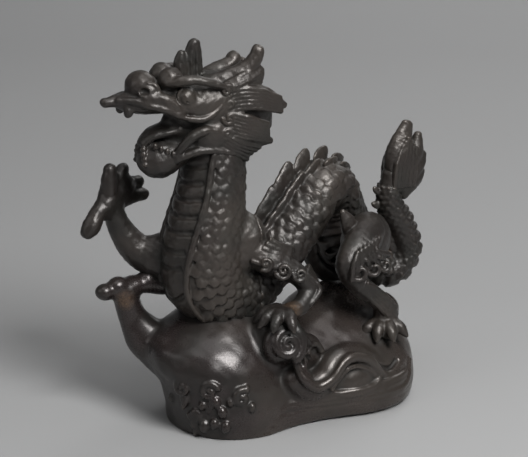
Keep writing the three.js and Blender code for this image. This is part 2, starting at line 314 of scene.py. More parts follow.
def monotone(x, y, at):
    # a smooth curve through the points that never overshoots them
    step = np.diff(x)
    rise = np.diff(y) / step
    lean = np.zeros(len(x))
    lean[0], lean[-1] = rise[0], rise[-1]
    for i in range(1, len(x) - 1):
        if rise[i - 1] * rise[i] > 0:
            lean[i] = 2 * rise[i - 1] * rise[i] / (rise[i - 1] + rise[i])
    i = np.clip(np.searchsorted(x, at) - 1, 0, len(x) - 2)
    t = (at - x[i]) / step[i]
    return (
        y[i] * (2 * t**3 - 3 * t**2 + 1) + lean[i] * step[i] * (t**3 - 2 * t**2 + t)
        + y[i + 1] * (3 * t**2 - 2 * t**3) + lean[i + 1] * step[i] * (t**3 - t**2)
    )


def press(part, points, triangles, blend=0.2, cut=False):
    # a closed mesh in casting millimetres is pressed into the clay or cut from it
    points = np.asarray(points, np.float32)
    triangles = np.asarray(triangles, np.uint32)

    def shape(block, window):
        lowest = (np.array([w.start for w in window]) + block.start) * block.cell
        highest = (np.array([w.stop for w in window]) + block.start) * block.cell
        corners = points[triangles]
        near = (corners > lowest - 3).all((1, 2)) & (corners < highest + 3).all((1, 2))
        field = np.full([w.stop - w.start for w in window], 3 * block.cell, np.float32)
        if near.any():
            grid = vdb.FloatGrid.createLevelSetFromPolygons(
                points, triangles=triangles, transform=vdb.createLinearTransform(voxelSize=block.cell),
                halfWidth=3,
            )
            first = tuple(int(w.start + s) for w, s in zip(window, block.start))
            grid.copyToArray(field, ijk=first)
        return field

    note(part, shape, points.min(0), points.max(0), blend, cut)


def newTree(name, inputs):
    tree = bpy.data.node_groups.new(name, "GeometryNodeTree")
    tree.interface.new_socket("Geometry", in_out="INPUT", socket_type="NodeSocketGeometry")
    for label, kind, value in inputs:
        socket = tree.interface.new_socket(label, in_out="INPUT", socket_type=kind)
        if value is not None:
            socket.default_value = value
    tree.interface.new_socket("Geometry", in_out="OUTPUT", socket_type="NodeSocketGeometry")
    return tree


def addNode(tree, kind, inputs=None, **settings):
    node = tree.nodes.new(kind)
    for key, value in settings.items():
        setattr(node, key, value)
    for key, value in (inputs or {}).items():
        if isinstance(value, bpy.types.NodeSocket):
            tree.links.new(value, node.inputs[key])
        else:
            node.inputs[key].default_value = value
    return node


def named(tree, label, kind):
    node = addNode(tree, "GeometryNodeInputNamedAttribute", {"Name": label}, data_type=kind)
    return next(s for s in node.outputs if s.enabled and s.name == "Attribute")


def finishTree(tree, geometry, source):
    real = addNode(tree, "GeometryNodeRealizeInstances", {"Geometry": geometry})
    coated = addNode(tree, "GeometryNodeSetMaterial",
                     {"Geometry": real.outputs[0], "Material": source.outputs["Finish"]})
    end = addNode(tree, "NodeGroupOutput")
    tree.links.new(coated.outputs[0], end.inputs[0])


def spreadOut(tree, source, shape, lift=None):
    # copies of the shape on the points, turned by each point's directions and a little unevenly
    given = source.outputs
    upright = addNode(tree, "FunctionNodeAlignRotationToVector", {
        "Vector": named(tree, "outward", "FLOAT_VECTOR"),
    }, axis="Z")
    turned = addNode(tree, "FunctionNodeAlignRotationToVector", {
        "Rotation": upright.outputs[0], "Vector": named(tree, "trailing", "FLOAT_VECTOR"),
    }, axis="Y", pivot_axis="Z")
    wobble = addNode(tree, "FunctionNodeRandomValue", {"Seed": given["Seed"]}, data_type="FLOAT_VECTOR")
    wobble.inputs["Min"].default_value = (-1, -1, -1)
    wobble.inputs["Max"].default_value = (1, 1, 1)
    bent = addNode(tree, "ShaderNodeVectorMath", {0: wobble.outputs[0]}, operation="SCALE")
    tree.links.new(given["Uneven"], bent.inputs["Scale"])
    if lift is not None:
        tilt = addNode(tree, "ShaderNodeCombineXYZ", {"X": lift})
        bent = addNode(tree, "ShaderNodeVectorMath", {0: bent.outputs[0], 1: tilt.outputs[0]},
                       operation="ADD")
    rotor = addNode(tree, "FunctionNodeEulerToRotation", {0: bent.outputs[0]})
    final = addNode(tree, "FunctionNodeRotateRotation", {
        "Rotation": turned.outputs[0], "Rotate By": rotor.outputs[0],
    }, rotation_space="LOCAL")
    spread = addNode(tree, "GeometryNodeInstanceOnPoints", {
        "Points": given["Geometry"], "Instance": shape, "Rotation": final.outputs[0],
        "Scale": named(tree, "span", "FLOAT_VECTOR"),
    })
    finishTree(tree, spread.outputs[0], source)


def scaleTree():
    # small lens-shaped scales whose free edges stand proud, set by normal and by trailing direction
    tree = newTree("dragonScales", [
        ("Width", "NodeSocketFloat", 3.3), ("Length", "NodeSocketFloat", 4.0),
        ("Thickness", "NodeSocketFloat", 1.2),
        ("Lift", "NodeSocketFloat", 0.2), ("Sink", "NodeSocketFloat", 0.1),
        ("Uneven", "NodeSocketFloat", 0.1),
        ("Seed", "NodeSocketInt", 5), ("Finish", "NodeSocketMaterial", None),
    ])
    source = addNode(tree, "NodeGroupInput")
    given = source.outputs
    ball = addNode(tree, "GeometryNodeMeshUVSphere", {"Segments": 10, "Rings": 6, "Radius": 0.5})
    size = addNode(tree, "ShaderNodeCombineXYZ",
                   {"X": given["Width"], "Y": given["Length"], "Z": given["Thickness"]})
    down = addNode(tree, "ShaderNodeMath", {0: 0.0, 1: given["Sink"]}, operation="SUBTRACT")
    shift = addNode(tree, "ShaderNodeCombineXYZ", {"Z": down.outputs[0]})
    lens = addNode(tree, "GeometryNodeTransform", {
        "Geometry": ball.outputs["Mesh"], "Scale": size.outputs[0], "Translation": shift.outputs[0],
    })
    spreadOut(tree, source, lens.outputs[0], given["Lift"])
    return tree


def strandTree():
    # round strands that follow drawn lines and taper by the girth stored on their points
    tree = newTree("castStrands", [
        ("Girth", "NodeSocketFloat", 1.0), ("Sides", "NodeSocketInt", 6),
        ("Finish", "NodeSocketMaterial", None),
    ])
    source = addNode(tree, "NodeGroupInput")
    curve = addNode(tree, "GeometryNodeMeshToCurve", {"Mesh": source.outputs["Geometry"]})
    girth = addNode(tree, "ShaderNodeMath", {
        0: named(tree, "girth", "FLOAT"), 1: source.outputs["Girth"],
    }, operation="MULTIPLY")
    swollen = addNode(tree, "GeometryNodeSetCurveRadius",
                      {"Curve": curve.outputs[0], "Radius": girth.outputs[0]})
    ring = addNode(tree, "GeometryNodeCurvePrimitiveCircle",
                   {"Resolution": source.outputs["Sides"], "Radius": 1.0})
    tube = addNode(tree, "GeometryNodeCurveToMesh", {
        "Curve": swollen.outputs[0], "Profile Curve": ring.outputs[0], "Fill Caps": True,
    })
    finishTree(tree, tube.outputs[0], source)
    return tree


def flameTree():
    # leaf-shaped flames: thin, broad in the middle, bent over towards their tips
    tree = newTree("flameRow", [
        ("Thickness", "NodeSocketFloat", 1.6), ("Width", "NodeSocketFloat", 4.0),
        ("Height", "NodeSocketFloat", 8.0),
        ("Bend", "NodeSocketFloat", 0.4), ("Uneven", "NodeSocketFloat", 0.1), ("Seed", "NodeSocketInt", 3),
        ("Finish", "NodeSocketMaterial", None),
    ])
    source = addNode(tree, "NodeGroupInput")
    given = source.outputs
    ball = addNode(tree, "GeometryNodeMeshUVSphere", {"Segments": 10, "Rings": 9, "Radius": 0.5})
    place = addNode(tree, "GeometryNodeInputPosition")
    parts = addNode(tree, "ShaderNodeSeparateXYZ", {0: place.outputs[0]})
    rise = addNode(tree, "ShaderNodeMath", {0: parts.outputs["Z"], 1: 0.5}, operation="ADD")
    square = addNode(tree, "ShaderNodeMath", {0: rise.outputs[0], 1: 2.0}, operation="POWER")
    bend = addNode(tree, "ShaderNodeMath", {0: square.outputs[0], 1: given["Bend"]}, operation="MULTIPLY")
    thin = addNode(tree, "ShaderNodeMapRange",
                   {"Value": rise.outputs[0], "From Min": 0.45, "From Max": 1.0, "To Min": 1.0,
                    "To Max": 0.95})
    leafY = addNode(tree, "ShaderNodeMath", {0: parts.outputs["Y"], 1: thin.outputs[0]},
                    operation="MULTIPLY")
    shifted = addNode(tree, "ShaderNodeMath", {0: leafY.outputs[0], 1: bend.outputs[0]}, operation="ADD")
    moved = addNode(tree, "ShaderNodeCombineXYZ",
                    {"X": parts.outputs["X"], "Y": shifted.outputs[0], "Z": rise.outputs[0]})
    leaf = addNode(tree, "GeometryNodeSetPosition",
                   {"Geometry": ball.outputs["Mesh"], "Position": moved.outputs[0]})
    size = addNode(tree, "ShaderNodeCombineXYZ",
                   {"X": given["Thickness"], "Y": given["Width"], "Z": given["Height"]})
    shaped = addNode(tree, "GeometryNodeTransform", {"Geometry": leaf.outputs[0], "Scale": size.outputs[0]})
    spreadOut(tree, source, shaped.outputs[0])
    return tree


def grow(name, tree, points, attributes, values, edges=()):
    # runs a tree on loose points or lines and gives back its mesh as arrays
    mesh = bpy.data.meshes.new(name)
    mesh.from_pydata([tuple(p) for p in np.asarray(points, float)], [tuple(e) for e in edges], [])
    for label, data in attributes.items():
        data = np.asarray(data, np.float32)
        kind, field = ("FLOAT_VECTOR", "vector") if data.ndim == 2 else ("FLOAT", "value")
        mesh.attributes.new(label, kind, "POINT").data.foreach_set(field, data.ravel())
    carrier = bpy.data.objects.new(name, mesh)
    bpy.context.scene.collection.objects.link(carrier)
    modifier = carrier.modifiers.new(name, "NODES")
    modifier.node_group = tree
    for item in tree.interface.items_tree:
        if item.in_out == "INPUT" and item.name in values:
            modifier[item.identifier] = values[item.name]
    made = bpy.data.meshes.new_from_object(carrier.evaluated_get(bpy.context.evaluated_depsgraph_get()))
    carrier.modifiers.clear()
    bpy.data.objects.remove(carrier)
    made.calc_loop_triangles()
    corners = np.zeros(len(made.vertices) * 3, np.float32)
    made.vertices.foreach_get("co", corners)
    faces = np.zeros(len(made.loop_triangles) * 3, np.int32)
    made.loop_triangles.foreach_get("vertices", faces)
    bpy.data.meshes.remove(made)
    return corners.reshape(-1, 3), faces.reshape(-1, 3)


def strands(part, lines, girth=0.4, sides=6, blend=0.3, cut=False):
    # lines: arrays of x, y, z, girth rows
    points, edges, sizes = [], [], []
    for line in lines:
        line = np.asarray(line, float)
        first = len(points)
        points += list(line[:, :3])
        sizes += list(line[:, 3])
        edges += [(first + k, first + k + 1) for k in range(len(line) - 1)]
    mesh = grow("strands", trees["strand"], points, {"girth": sizes},
                {"Girth": girth, "Sides": sides, "Finish": finishes["dragon"]}, edges)
    press(part, *mesh, blend=blend, cut=cut)


def instances(part, kind, rows, values, blend=0.2, cut=False):
    # rows: point, outward, trailing, size along each axis
    points, outward, trailing, span = (np.array([r[k] for r in rows], float) for k in range(4))
    given = dict(values, Finish=finishes["dragon"])
    mesh = grow(kind, trees[kind], points, {"outward": outward, "trailing": trailing, "span": span}, given)
    press(part, *mesh, blend=blend, cut=cut)


def patinaAndShadeGroup():
    # the look of an old dark casting: brown skin, verdigris in the hollows, rubbed ridges, and the hollows
    # darkened as dust together with painted shade
    tree = bpy.data.node_groups.new("castPatinaAndShade", "ShaderNodeTree")
    for label, kind, value in (
        ("Skin", "NodeSocketColor", (0.05, 0.038, 0.033, 1)),
        ("Deep", "NodeSocketColor", (0.02, 0.018, 0.016, 1)),
        ("Rubbed", "NodeSocketColor", (0.085, 0.07, 0.058, 1)),
        ("Brass", "NodeSocketColor", (0.15, 0.09, 0.05, 1)),
        ("Verdigris", "NodeSocketColor", (0.05, 0.062, 0.05, 1)),
        ("Verdigris Amount", "NodeSocketFloat", 0.5),
        ("Patch Size", "NodeSocketFloat", 90.0), ("Grain Size", "NodeSocketFloat", 1500.0),
        ("Gloss", "NodeSocketFloat", 0.4), ("Wear", "NodeSocketFloat", 0.7),
    ):
        socket = tree.interface.new_socket(label, in_out="INPUT", socket_type=kind)
        socket.default_value = value
    for label, kind in (("Colour", "NodeSocketColor"), ("Roughness", "NodeSocketFloat"),
                        ("Height", "NodeSocketFloat")):
        tree.interface.new_socket(label, in_out="OUTPUT", socket_type=kind)
    source = addNode(tree, "NodeGroupInput").outputs
    end = addNode(tree, "NodeGroupOutput")
    place = addNode(tree, "ShaderNodeTexCoord").outputs["Object"]
    ridge = addNode(tree, "ShaderNodeAttribute", attribute_name="ridge").outputs["Fac"]
    hollow = addNode(tree, "ShaderNodeAttribute", attribute_name="hollow").outputs["Fac"]
    polish = addNode(tree, "ShaderNodeAttribute", attribute_name="polish").outputs["Fac"]

    def noise(scale, detail, rough=0.55):
        return addNode(tree, "ShaderNodeTexNoise", {
            "Vector": place, "Scale": scale, "Detail": detail, "Roughness": rough,
        }).outputs["Fac"]

    def span(value, low, high, toLow=0.0, toHigh=1.0):
        return addNode(tree, "ShaderNodeMapRange", {
            "Value": value, "From Min": low, "From Max": high, "To Min": toLow, "To Max": toHigh,
        }, clamp=True).outputs[0]

    def times(a, b):
        return addNode(tree, "ShaderNodeMath", {0: a, 1: b}, operation="MULTIPLY").outputs[0]

    def plus(a, b):
        return addNode(tree, "ShaderNodeMath", {0: a, 1: b}, operation="ADD").outputs[0]

    def mix(amount, a, b):
        node = addNode(tree, "ShaderNodeMix", data_type="RGBA")
        for key, value in ((0, amount), (6, a), (7, b)):
            if isinstance(value, bpy.types.NodeSocket):
                tree.links.new(value, node.inputs[key])
            else:
                node.inputs[key].default_value = value
        return node.outputs[2]

    patches = noise(source["Patch Size"], 5.0)
    speck = noise(source["Grain Size"], 3.0, 0.6)
    broad = noise(times(source["Patch Size"], 0.35), 3.0)
    skin = mix(span(patches, 0.35, 0.68), source["Skin"], source["Deep"])
    skin = mix(span(broad, 0.42, 0.62, 0.0, 0.45), skin, source["Rubbed"])
    green = times(times(span(patches, 0.46, 0.62), source["Verdigris Amount"]),
                  span(hollow, 0.15, 0.7, 0.25, 1.0))
    skin = mix(green, skin, source["Verdigris"])
    # painted shade: recesses, and creases where pieces meet, are darkened towards the deep colour, standing
    # in for occlusion as well as dust
    skin = mix(span(hollow, 0.1, 0.9, 0.0, 0.85), skin, source["Deep"])
    worn = times(times(span(plus(ridge, times(span(speck, 0.3, 0.7, -0.5, 0.5), 0.35)), 0.25, 0.9),
                       source["Wear"]),
                 span(broad, 0.3, 0.65, 0.45, 1.0))
    skin = mix(worn, skin, source["Rubbed"])
    bare = times(polish, span(plus(ridge, span(speck, 0.35, 0.65)), 0.35, 1.1, 0.35, 1.0))
    skin = mix(bare, skin, source["Brass"])
    tree.links.new(skin, end.inputs["Colour"])
    rough = plus(source["Gloss"], span(patches, 0.3, 0.7, -0.05, 0.1))
    rough = plus(rough, span(hollow, 0.1, 0.9, 0.0, 0.28))
    rough = plus(rough, times(worn, -0.08))
    rough = plus(rough, span(speck, 0.3, 0.7, -0.03, 0.05))
    tree.links.new(rough, end.inputs["Roughness"])
    height = plus(times(speck, 0.6), times(noise(times(source["Grain Size"], 0.27), 4.0), 1.0))
    tree.links.new(height, end.inputs["Height"])
    return tree


def bronzeFinish(name, values, metallic, specular, bump):
    material = bpy.data.materials.new(name)
    material.use_nodes = True
    tree = material.node_tree
    tree.nodes.clear()
    patina = addNode(tree, "ShaderNodeGroup", node_tree=bpy.data.node_groups["castPatinaAndShade"])
    for key, value in values.items():
        patina.inputs[key].default_value = value
    relief = addNode(tree, "ShaderNodeBump", {
        "Height": patina.outputs["Height"], "Strength": bump, "Distance": 0.00025,
    })
    shader = addNode(tree, "ShaderNodeBsdfPrincipled", {
        "Base Color": patina.outputs["Colour"], "Roughness": patina.outputs["Roughness"],
        "Normal": relief.outputs[0], "Metallic": metallic, "Specular IOR Level": specular,
    })
    addNode(tree, "ShaderNodeOutputMaterial", {"Surface": shader.outputs[0]})
    return material


patinaAndShadeGroup()
finishes = {
    "dragon": bronzeFinish("dragonPatina", {
        "Skin": (0.034, 0.028, 0.025, 1), "Verdigris": (0.038, 0.043, 0.034, 1), "Verdigris Amount": 0.4,
        "Gloss": 0.36,
    }, metallic=0.4, specular=0.75, bump=0.5),
    "cloud": bronzeFinish("cloudPatina", {
        "Skin": (0.036, 0.027, 0.026, 1), "Verdigris": (0.036, 0.04, 0.033, 1), "Verdigris Amount": 0.25,
        "Gloss": 0.26, "Patch Size": 60.0,
    }, metallic=0.4, specular=0.75, bump=0.2),
}
trees = {"dragonScales": scaleTree(), "strand": strandTree(), "flameRow": flameTree()}
print("dragon: finishes and trees ready")


base = {
    "leftMound": [  # height, middle x and y, half sizes
        (-2, -17.5, -6, 18.5, 20.5), (5, -17.5, -6, 19, 21), (13, -18, -4.6, 20, 21),
        (20, -19.5, -3, 21.5, 20.5),
        (25, -20, -1.6, 20.6, 19), (29.5, -18.6, -.4, 17, 16), (33, -17.6, 0, 12.5, 12),
        (35.6, -17.4, 0, 6.4, 6),
        (36.4, -17.4, 0, 1, 1),
    ],
    "rightMound": [
        (-2, 24.5, -6, 23, 23.5), (5, 25, -6, 24, 24.5), (12, 25.5, -4.6, 24, 23.5),
        (18, 26, -2.4, 22.5, 21),
        (23.5, 26.5, 0, 19.5, 17.5), (28, 27, 2, 15, 12.5), (31, 27, 3, 9, 7.5), (32.6, 27, 3, 3, 3),
        (33, 27, 3, .6, .6),
    ],
    "pillar": [(-32, 7, 19, 7, 7), (-37.5, 9.5, 25.5, 5.4, 6.6), (-41, 11.6, 32, 4, 4.6),
               (-43.2, 12.5, 40, 4, 4)],
    "arm": [(-50, 12, 41.6, 2.4, 2.4), (-43, 12.5, 41.6, 3.6, 3), (-37, 12.3, 42, 3.6, 3),
            (-30, 11, 41.5, 4.5, 3.8), (-24, 9, 42, 5, 5)],
    "armLobes": [(-50.4, 12, 41.8, 3), (-45.8, 12, 43, 3.4), (-40, 12.4, 42.2, 3.2),
                 (-35.4, 12, 43.2, 3.5), (-31, 10.6, 41.4, 3.8)],
    "wave": [  # swings round the front: x, y, z and girth
        (-4.6, -26, 21.5, 1.2), (-3, -28, 16.5, 1.7), (1, -29.2, 13.3, 1.8), (6, -29.6, 15, 1.8),
        (10.6, -28.8, 19, 1.8), (15.5, -28.2, 20.2, 1.8), (21, -28.2, 17.8, 1.8), (26, -27.6, 12.4, 1.6),
        (30, -27, 10.2, 1.5), (34, -25.4, 11.6, 1.3), (36, -23.4, 14, .8),
    ],
    "sprayCurls": [(-34, 16, 2.7, 120), (-26.4, 15.8, 2.9, 30), (-16.2, 13.6, 2.7, 60),
                   (-30.4, 7.6, 2, 200)],
    "sprayDrops": [  # x, z and size
        (-36.6, 10.4, .9), (-33.6, 12.2, 1.1), (-24.4, 12.6, 1.2), (-22.6, 9.4, 1.3), (-20, 12.4, .9),
        (-13, 10.4, 1.1), (-28.4, 11, 1), (-28, 4.4, 1.4), (-25, 5.6, 1.2), (-21.6, 4.6, 1.3),
        (-30.8, 4, 1),
        (-14.4, 16.2, .8),
    ],
    "ripples": 7,
}


def layBase():
    moundOf("cloud", base["leftMound"])
    moundOf("cloud", base["rightMound"], blend=5)
    lobe("cloud", (0, -3, 4), (22, 22, 19), blend=6)
    bar("cloud", base["pillar"], blend=2.4)
    bar("cloud", base["arm"], blend=2)
    for x, y, z, size in base["armLobes"]:
        lobe("cloud", (x, y, z), (size, size * .95, size * .85), blend=.8)
    lobe("cloud", (14, -15, 8), (23, 13.4, 11.5), blend=4)
    bar("cloud", [(-6, -16, 24, 8, 8), (-6, -17, 30, 8.5, 7), (-6, -18, 34.5, 5, 4)], blend=3)
    lobe("cloud", (46.5, -1, 22), (3.6, 6, 5), blend=1.5)
    lobe("cloud", (17, -24, 11), (8, 6, 6.6), blend=1.5)
    lobe("cloud", (2, -20, 22), (6, 4.5, 6), blend=1.5)


def settle(points, direction, part="cloud"):
    # slides points from inside the clay outwards along a direction until they reach the skin
    points = np.asarray(points, float)
    direction = unit(direction)
    reach = np.arange(0, 45, 0.5)
    values = np.stack([sample(guide.clay[part], guide, points + direction * r) for r in reach], 1)
    out = values > 0
    first = np.clip(np.argmax(out, 1), 1, len(reach) - 1)
    rows = np.arange(len(points))
    a, b = values[rows, first - 1], values[rows, first]
    share = np.clip(-a / np.maximum(b - a, 1e-6), 0, 1)
    return points + direction * ((first - 1 + share) * 0.5)[:, None]


def onCloud(rows, lift=0.0, direction=(0, -1, 0)):
    # rows of x, z and girth are set on the front of the base
    start = [(r[0], -4.0, r[1]) for r in rows]
    at = settle(start, direction) + unit(direction) * lift
    return [(*p, r[2]) for p, r in zip(at, rows)]


def layWaves():
    # the rolled cloud end, its ring and stems
    lobe("cloud", (-7.6, -22.6, 27.6), (6.6, 3.4, 6.6), blend=1.2)
    curl("cloud", (-7.6, -25.4, 28), (-.2, -1, .35), 5.2, 1.75, 1.9, -60, 0.4)
    curl("cloud", (2.4, -25, 23.4), (0, -1, .4), 2.7, 1.25, 1.02, 0, 0.3)
    lobe("cloud", (2.4, -26, 23.6), (1.7, 1.6, 1.7), blend=.4, cut=True)
    bar("cloud", [(-3.4, -23.6, 33.6, 1), (-1.8, -25, 30.4, 1.2), (0, -25.2, 27, 1.2),
                  (1.6, -24.4, 25.6, .8)], .5)
    bar("cloud", [(-5.4, -23, 34.4, .8), (-3.2, -25.6, 31.6, 1.2), (-1.6, -26.2, 28, 1),
                  (-1, -25.8, 24, .8)], .5)
    bar("cloud", onCloud([(-2.2, 24, .7), (-2.6, 20, 1), (-4.4, 15.6, 1), (-3.6, 12, .8)], .1), .5)
    bar("cloud", onCloud([(-.6, 23, .6), (0, 19.5, .8), (-2, 16, .8), (-2.2, 13.4, .6)], .1), .5)
    # the wave that swings round the front
    wave = base["wave"]
    bar("cloud", [(x, y + 4.6, z - 1.6, g + 2.6) for x, y, z, g in wave[1:]], 2)
    bar("cloud", wave, .5)
    bar("cloud", [(x, y - .4, z - 3.2, .8) for x, y, z, g in wave[3:9]], .5)
    bar("cloud", [(x, y + .4, z + 2.4, .8) for x, y, z, g in wave[1:10]], .8, True)
    bar("cloud", onCloud([(5.4, 11.6, .6), (8, 9.6, 1), (13, 8.2, 1.1), (19, 8.4, 1.1), (24, 10.4, .9),
                          (26, 12, .5)], .2), .6)
    bar("cloud", onCloud([(20, 9.8, .5), (27, 6.6, 1), (33, 6, 1.1), (38, 8, .9), (41, 12, .6)], .1), .6)
    # long ripples, one over another, round the foot between the two mounds
    lines = []
    for k in range(base["ripples"]):
        z = 1.6 + 1.25 * k
        left = -21 + 2.6 * k
        rows, lifts = [], []
        for t in np.linspace(0, 1, 14):
            high = z + 1.2 * math.sin(2.6 * t + k) * t * .5 - 1.2 * (1 - t) ** 2 * (k < 4)
            girth = .9 * math.sin(math.pi * min(max(t, .01), .99)) ** .8
            rows.append((left + (40 - left) * t, high, girth))
            lifts.append([.25 - 1.4 * abs(2 * t - 1) ** 6])
        lines.append(spline(onCloud(rows, np.array(lifts)), 1.5))
    strands("cloud", lines, blend=.5)
    # spray: small curls and drops on the left mound, beads at the right end
    for x, z, size, start in base["sprayCurls"]:
        x0, y0, z0, _ = onCloud([(x, z, 1)], -.2, (-.35, -1, 0))[0]
        out = unit((x0 + 18.5, y0 + 5, 0))
        curl("cloud", (x0, y0, z0), out, size, 1.15, 1.2, start, .4)
        bar("cloud", [(x0 + 1, y0, z0 - 2, 1.2), (x0 + .7, y0 - .1, z0 - 4.4, 1.3),
                      (x0, y0 + .2, z0 - 6.6, .8)], .5)
    drops = []
    for x, z, size in base["sprayDrops"]:
        x0, y0, z0, _ = onCloud([(x, z, 1)], .1, (-.35, -1, 0))[0]
        drops.append(((x0, y0, z0), unit((x0 + 18.5, y0 + 5, 0)), (0, 0, 1),
                      (size * 1.35, size * 1.7, size * 1.35)))
    for k in range(9):
        a = 2.4 * k
        drops.append(((48.6 + .5 * math.sin(a), -7 + 3 * math.cos(a * 1.7), 17 + 3.2 * math.sin(a * 1.3)),
                      (1, -.3, 0), (0, 0, 1), (.8,) * 3))
    instances("cloud", "dragonScales", drops,
              {"Width": 2.0, "Length": 2.0, "Thickness": 2.0, "Lift": 0.0, "Sink": 0.0, "Uneven": 0.2,
               "Seed": 8},
              blend=0.4)


body = {
    "stations": [  # neck, chest, hump, hips and tail
        (-15.5, 1, 92, 7.5, 7.5), (-17.4, 1, 84, 9, 9.2), (-18.9, .4, 75, 9.8, 10),
        (-20.6, 0, 65, 11.2, 11.4),
        (-22.2, 0, 55, 12.4, 12.6), (-22, 0, 45, 12.6, 12.6), (-15, .2, 38.5, 11.8, 11),
        (-4.5, 1, 41, 10.4, 9.6),
        (5, 2, 48, 9.6, 9.2), (14, 3, 56.5, 9.3, 9), (22, 5, 63.5, 9, 8.8), (30, 9, 63, 8.8, 8.4),
        (35.5, 12, 55, 8.8, 8.2), (39, 10.5, 45, 9, 8.4), (44, 6, 36.5, 8, 7.4), (51.5, 2, 33.5, 5.6, 5.4),
        (56, 0, 40, 4.6, 4.8), (53.5, 0, 49, 4.2, 4.8), (48.6, 0, 58, 3.9, 4.6), (49, 0, 67, 3.2, 3.6),
    ],
}
trunkRail = railOf(body["stations"], 1.0)


def layTrunk():
    barAlong("trunk", trunkRail, blend=0)
    lobe("trunk", (34, -7, 49), (8.5, 7, 9.5), (0, 20, 0), blend=4)
    lobe("trunk", (38, 13.5, 43), (8, 6, 9), (0, 20, 0), blend=4)
    lobe("trunk", (-10.5, -5.5, 55.5), (6.5, 6.5, 9.5), (0, 14, 0), blend=4)


def skinPoint(run, around, lift=0.0):
    # a point on the trunk's skin with its outward and tailward directions; 0 is the back, 180 the belly
    here = pick(trunkRail, run)
    turn = np.radians(np.asarray(around, float))[..., None]
    wide, deep = here["wide"][..., None], here["deep"][..., None]
    out = unit(here["back"] * np.cos(turn) / deep + here["side"] * np.sin(turn) / wide)
    at = here["at"] + here["back"] * deep * np.cos(turn) + here["side"] * wide * np.sin(turn)
    return at + out * lift, out, here["along"]


scalesOf = {
    "rows": 2.45, "pitch": 3.6, "width": 4.4, "length": 5.6, "thickness": 1.5, "lift": 0.33, "sink": 0.05,
}


def layScales():
    rows = []
    run, odd = 4.0, 0
    while run < 187:
        here = pick(trunkRail, run)
        radius = float(here["wide"] + here["deep"]) / 2
        small = np.interp(run, [0, 60, 85, 110, 150, 165, 187], [1, 1.05, 1.12, 1.05, 0.9, 0.62, 0.55])
        edge = np.interp(run, [0, 20, 40, 60, 75, 95, 108, 125, 150, 187],
                         [116, 122, 136, 136, 120, 105, 72, 76, 95, 95])
        width = scalesOf["pitch"] * small
        count = int(round(2 * math.pi * radius / width))
        for k in range(count):
            around = ((k + 0.5 * (odd % 2)) / count * 360 + 180) % 360 - 180
            if abs(around) > edge:
                continue
            at, out, along = skinPoint(run, around)
            rows.append((at, out, along, (small * 1.02, small, small)))
        run += scalesOf["rows"] * small
        odd += 1
    instances("trunk", "dragonScales", rows, {
        "Width": scalesOf["width"], "Length": scalesOf["length"], "Thickness": scalesOf["thickness"],
        "Lift": scalesOf["lift"], "Sink": scalesOf["sink"], "Uneven": 0.06, "Seed": 11,
    }, blend=0.05)


head = {
    "centre": (-20.0, 1.0, 98.0), "turn": -7.0,  # it looks a little to the dragon's right
    "snout": [
        (2, 0, 4, 9, 7), (-8, 0, 5, 8.6, 5.4), (-16, 0, 5, 7.4, 4.2), (-22, 0, 4.8, 6, 3.6),
        (-26, 0, 5.2, 4, 2.7),
        (-29.5, 0, 5.7, 2.2, 1.7), (-32.4, 0, 5.6, 1.6, 1.5),
    ],
    "chin": [(2, 0, -7, 8, 5), (-6, 0, -9.6, 6.8, 3.6), (-11, 0, -12, 6.4, 4.6)],
    "tongue": [(-6, 0, -4.5, 5, 2.2), (-13, 0, -4.6, 5, 2), (-18, 0, -5.6, 4, 1.7), (-21, 0, -8, 2.6, 1.3)],
    "crestTall": [(-4.4, 0, 7, 2.1, 3.6), (-4.3, 0, 13, 2, 3.3), (-4, 0, 18, 1.8, 2.7),
                  (-3.8, 0, 20.8, 1.5, 1.9)],
    "crestShort": [(-7.9, 0, 7, 2, 3), (-8, 0, 13, 1.9, 2.6), (-8.2, 0, 16, 1.6, 2),
                   (-7.9, 0, 17.8, 1.3, 1.4)],
    "eye": (-9.6, 7.6, 6.7), "eyeSize": 2.7,
}
headTurn = turnMatrix((0, 0, head["turn"]))


def onHead(rows):
    rows = even(rows)
    rows[:, :3] = rows[:, :3] @ headTurn.T + head["centre"]
    return rows


def headBar(stations, blend=0.5, cut=False, across=sideways, spacing=0.7):
    bar("head", onHead(stations), blend, cut, headTurn @ np.asarray(across, float), spacing)


def headLobe(at, size, turn=(0, 0, 0), blend=0.8, cut=False):
    turn = (turn[0], turn[1], turn[2] + head["turn"])
    lobe("head", onHead([at])[0], size, turn, blend, cut)


def onSide(stations, side):
    return [(s[0], s[1] * side, *s[2:]) for s in stations]


def fan(roots, middles, tips, count, girth, side):
    # locks of hair that start along one line, pass along a second and end along a third
    lines = []
    for k in range(count):
        share = k / max(count - 1, 1)
        knots = [np.array(a) * (1 - share) + np.array(b) * share for a, b in (roots, middles, tips)]
        knots = [(p[0], p[1] * side, p[2], g) for p, g in zip(knots, (girth * 0.8, girth, girth * 0.45))]
        lines.append(onHead(spline(knots, 0.9)))
    return lines


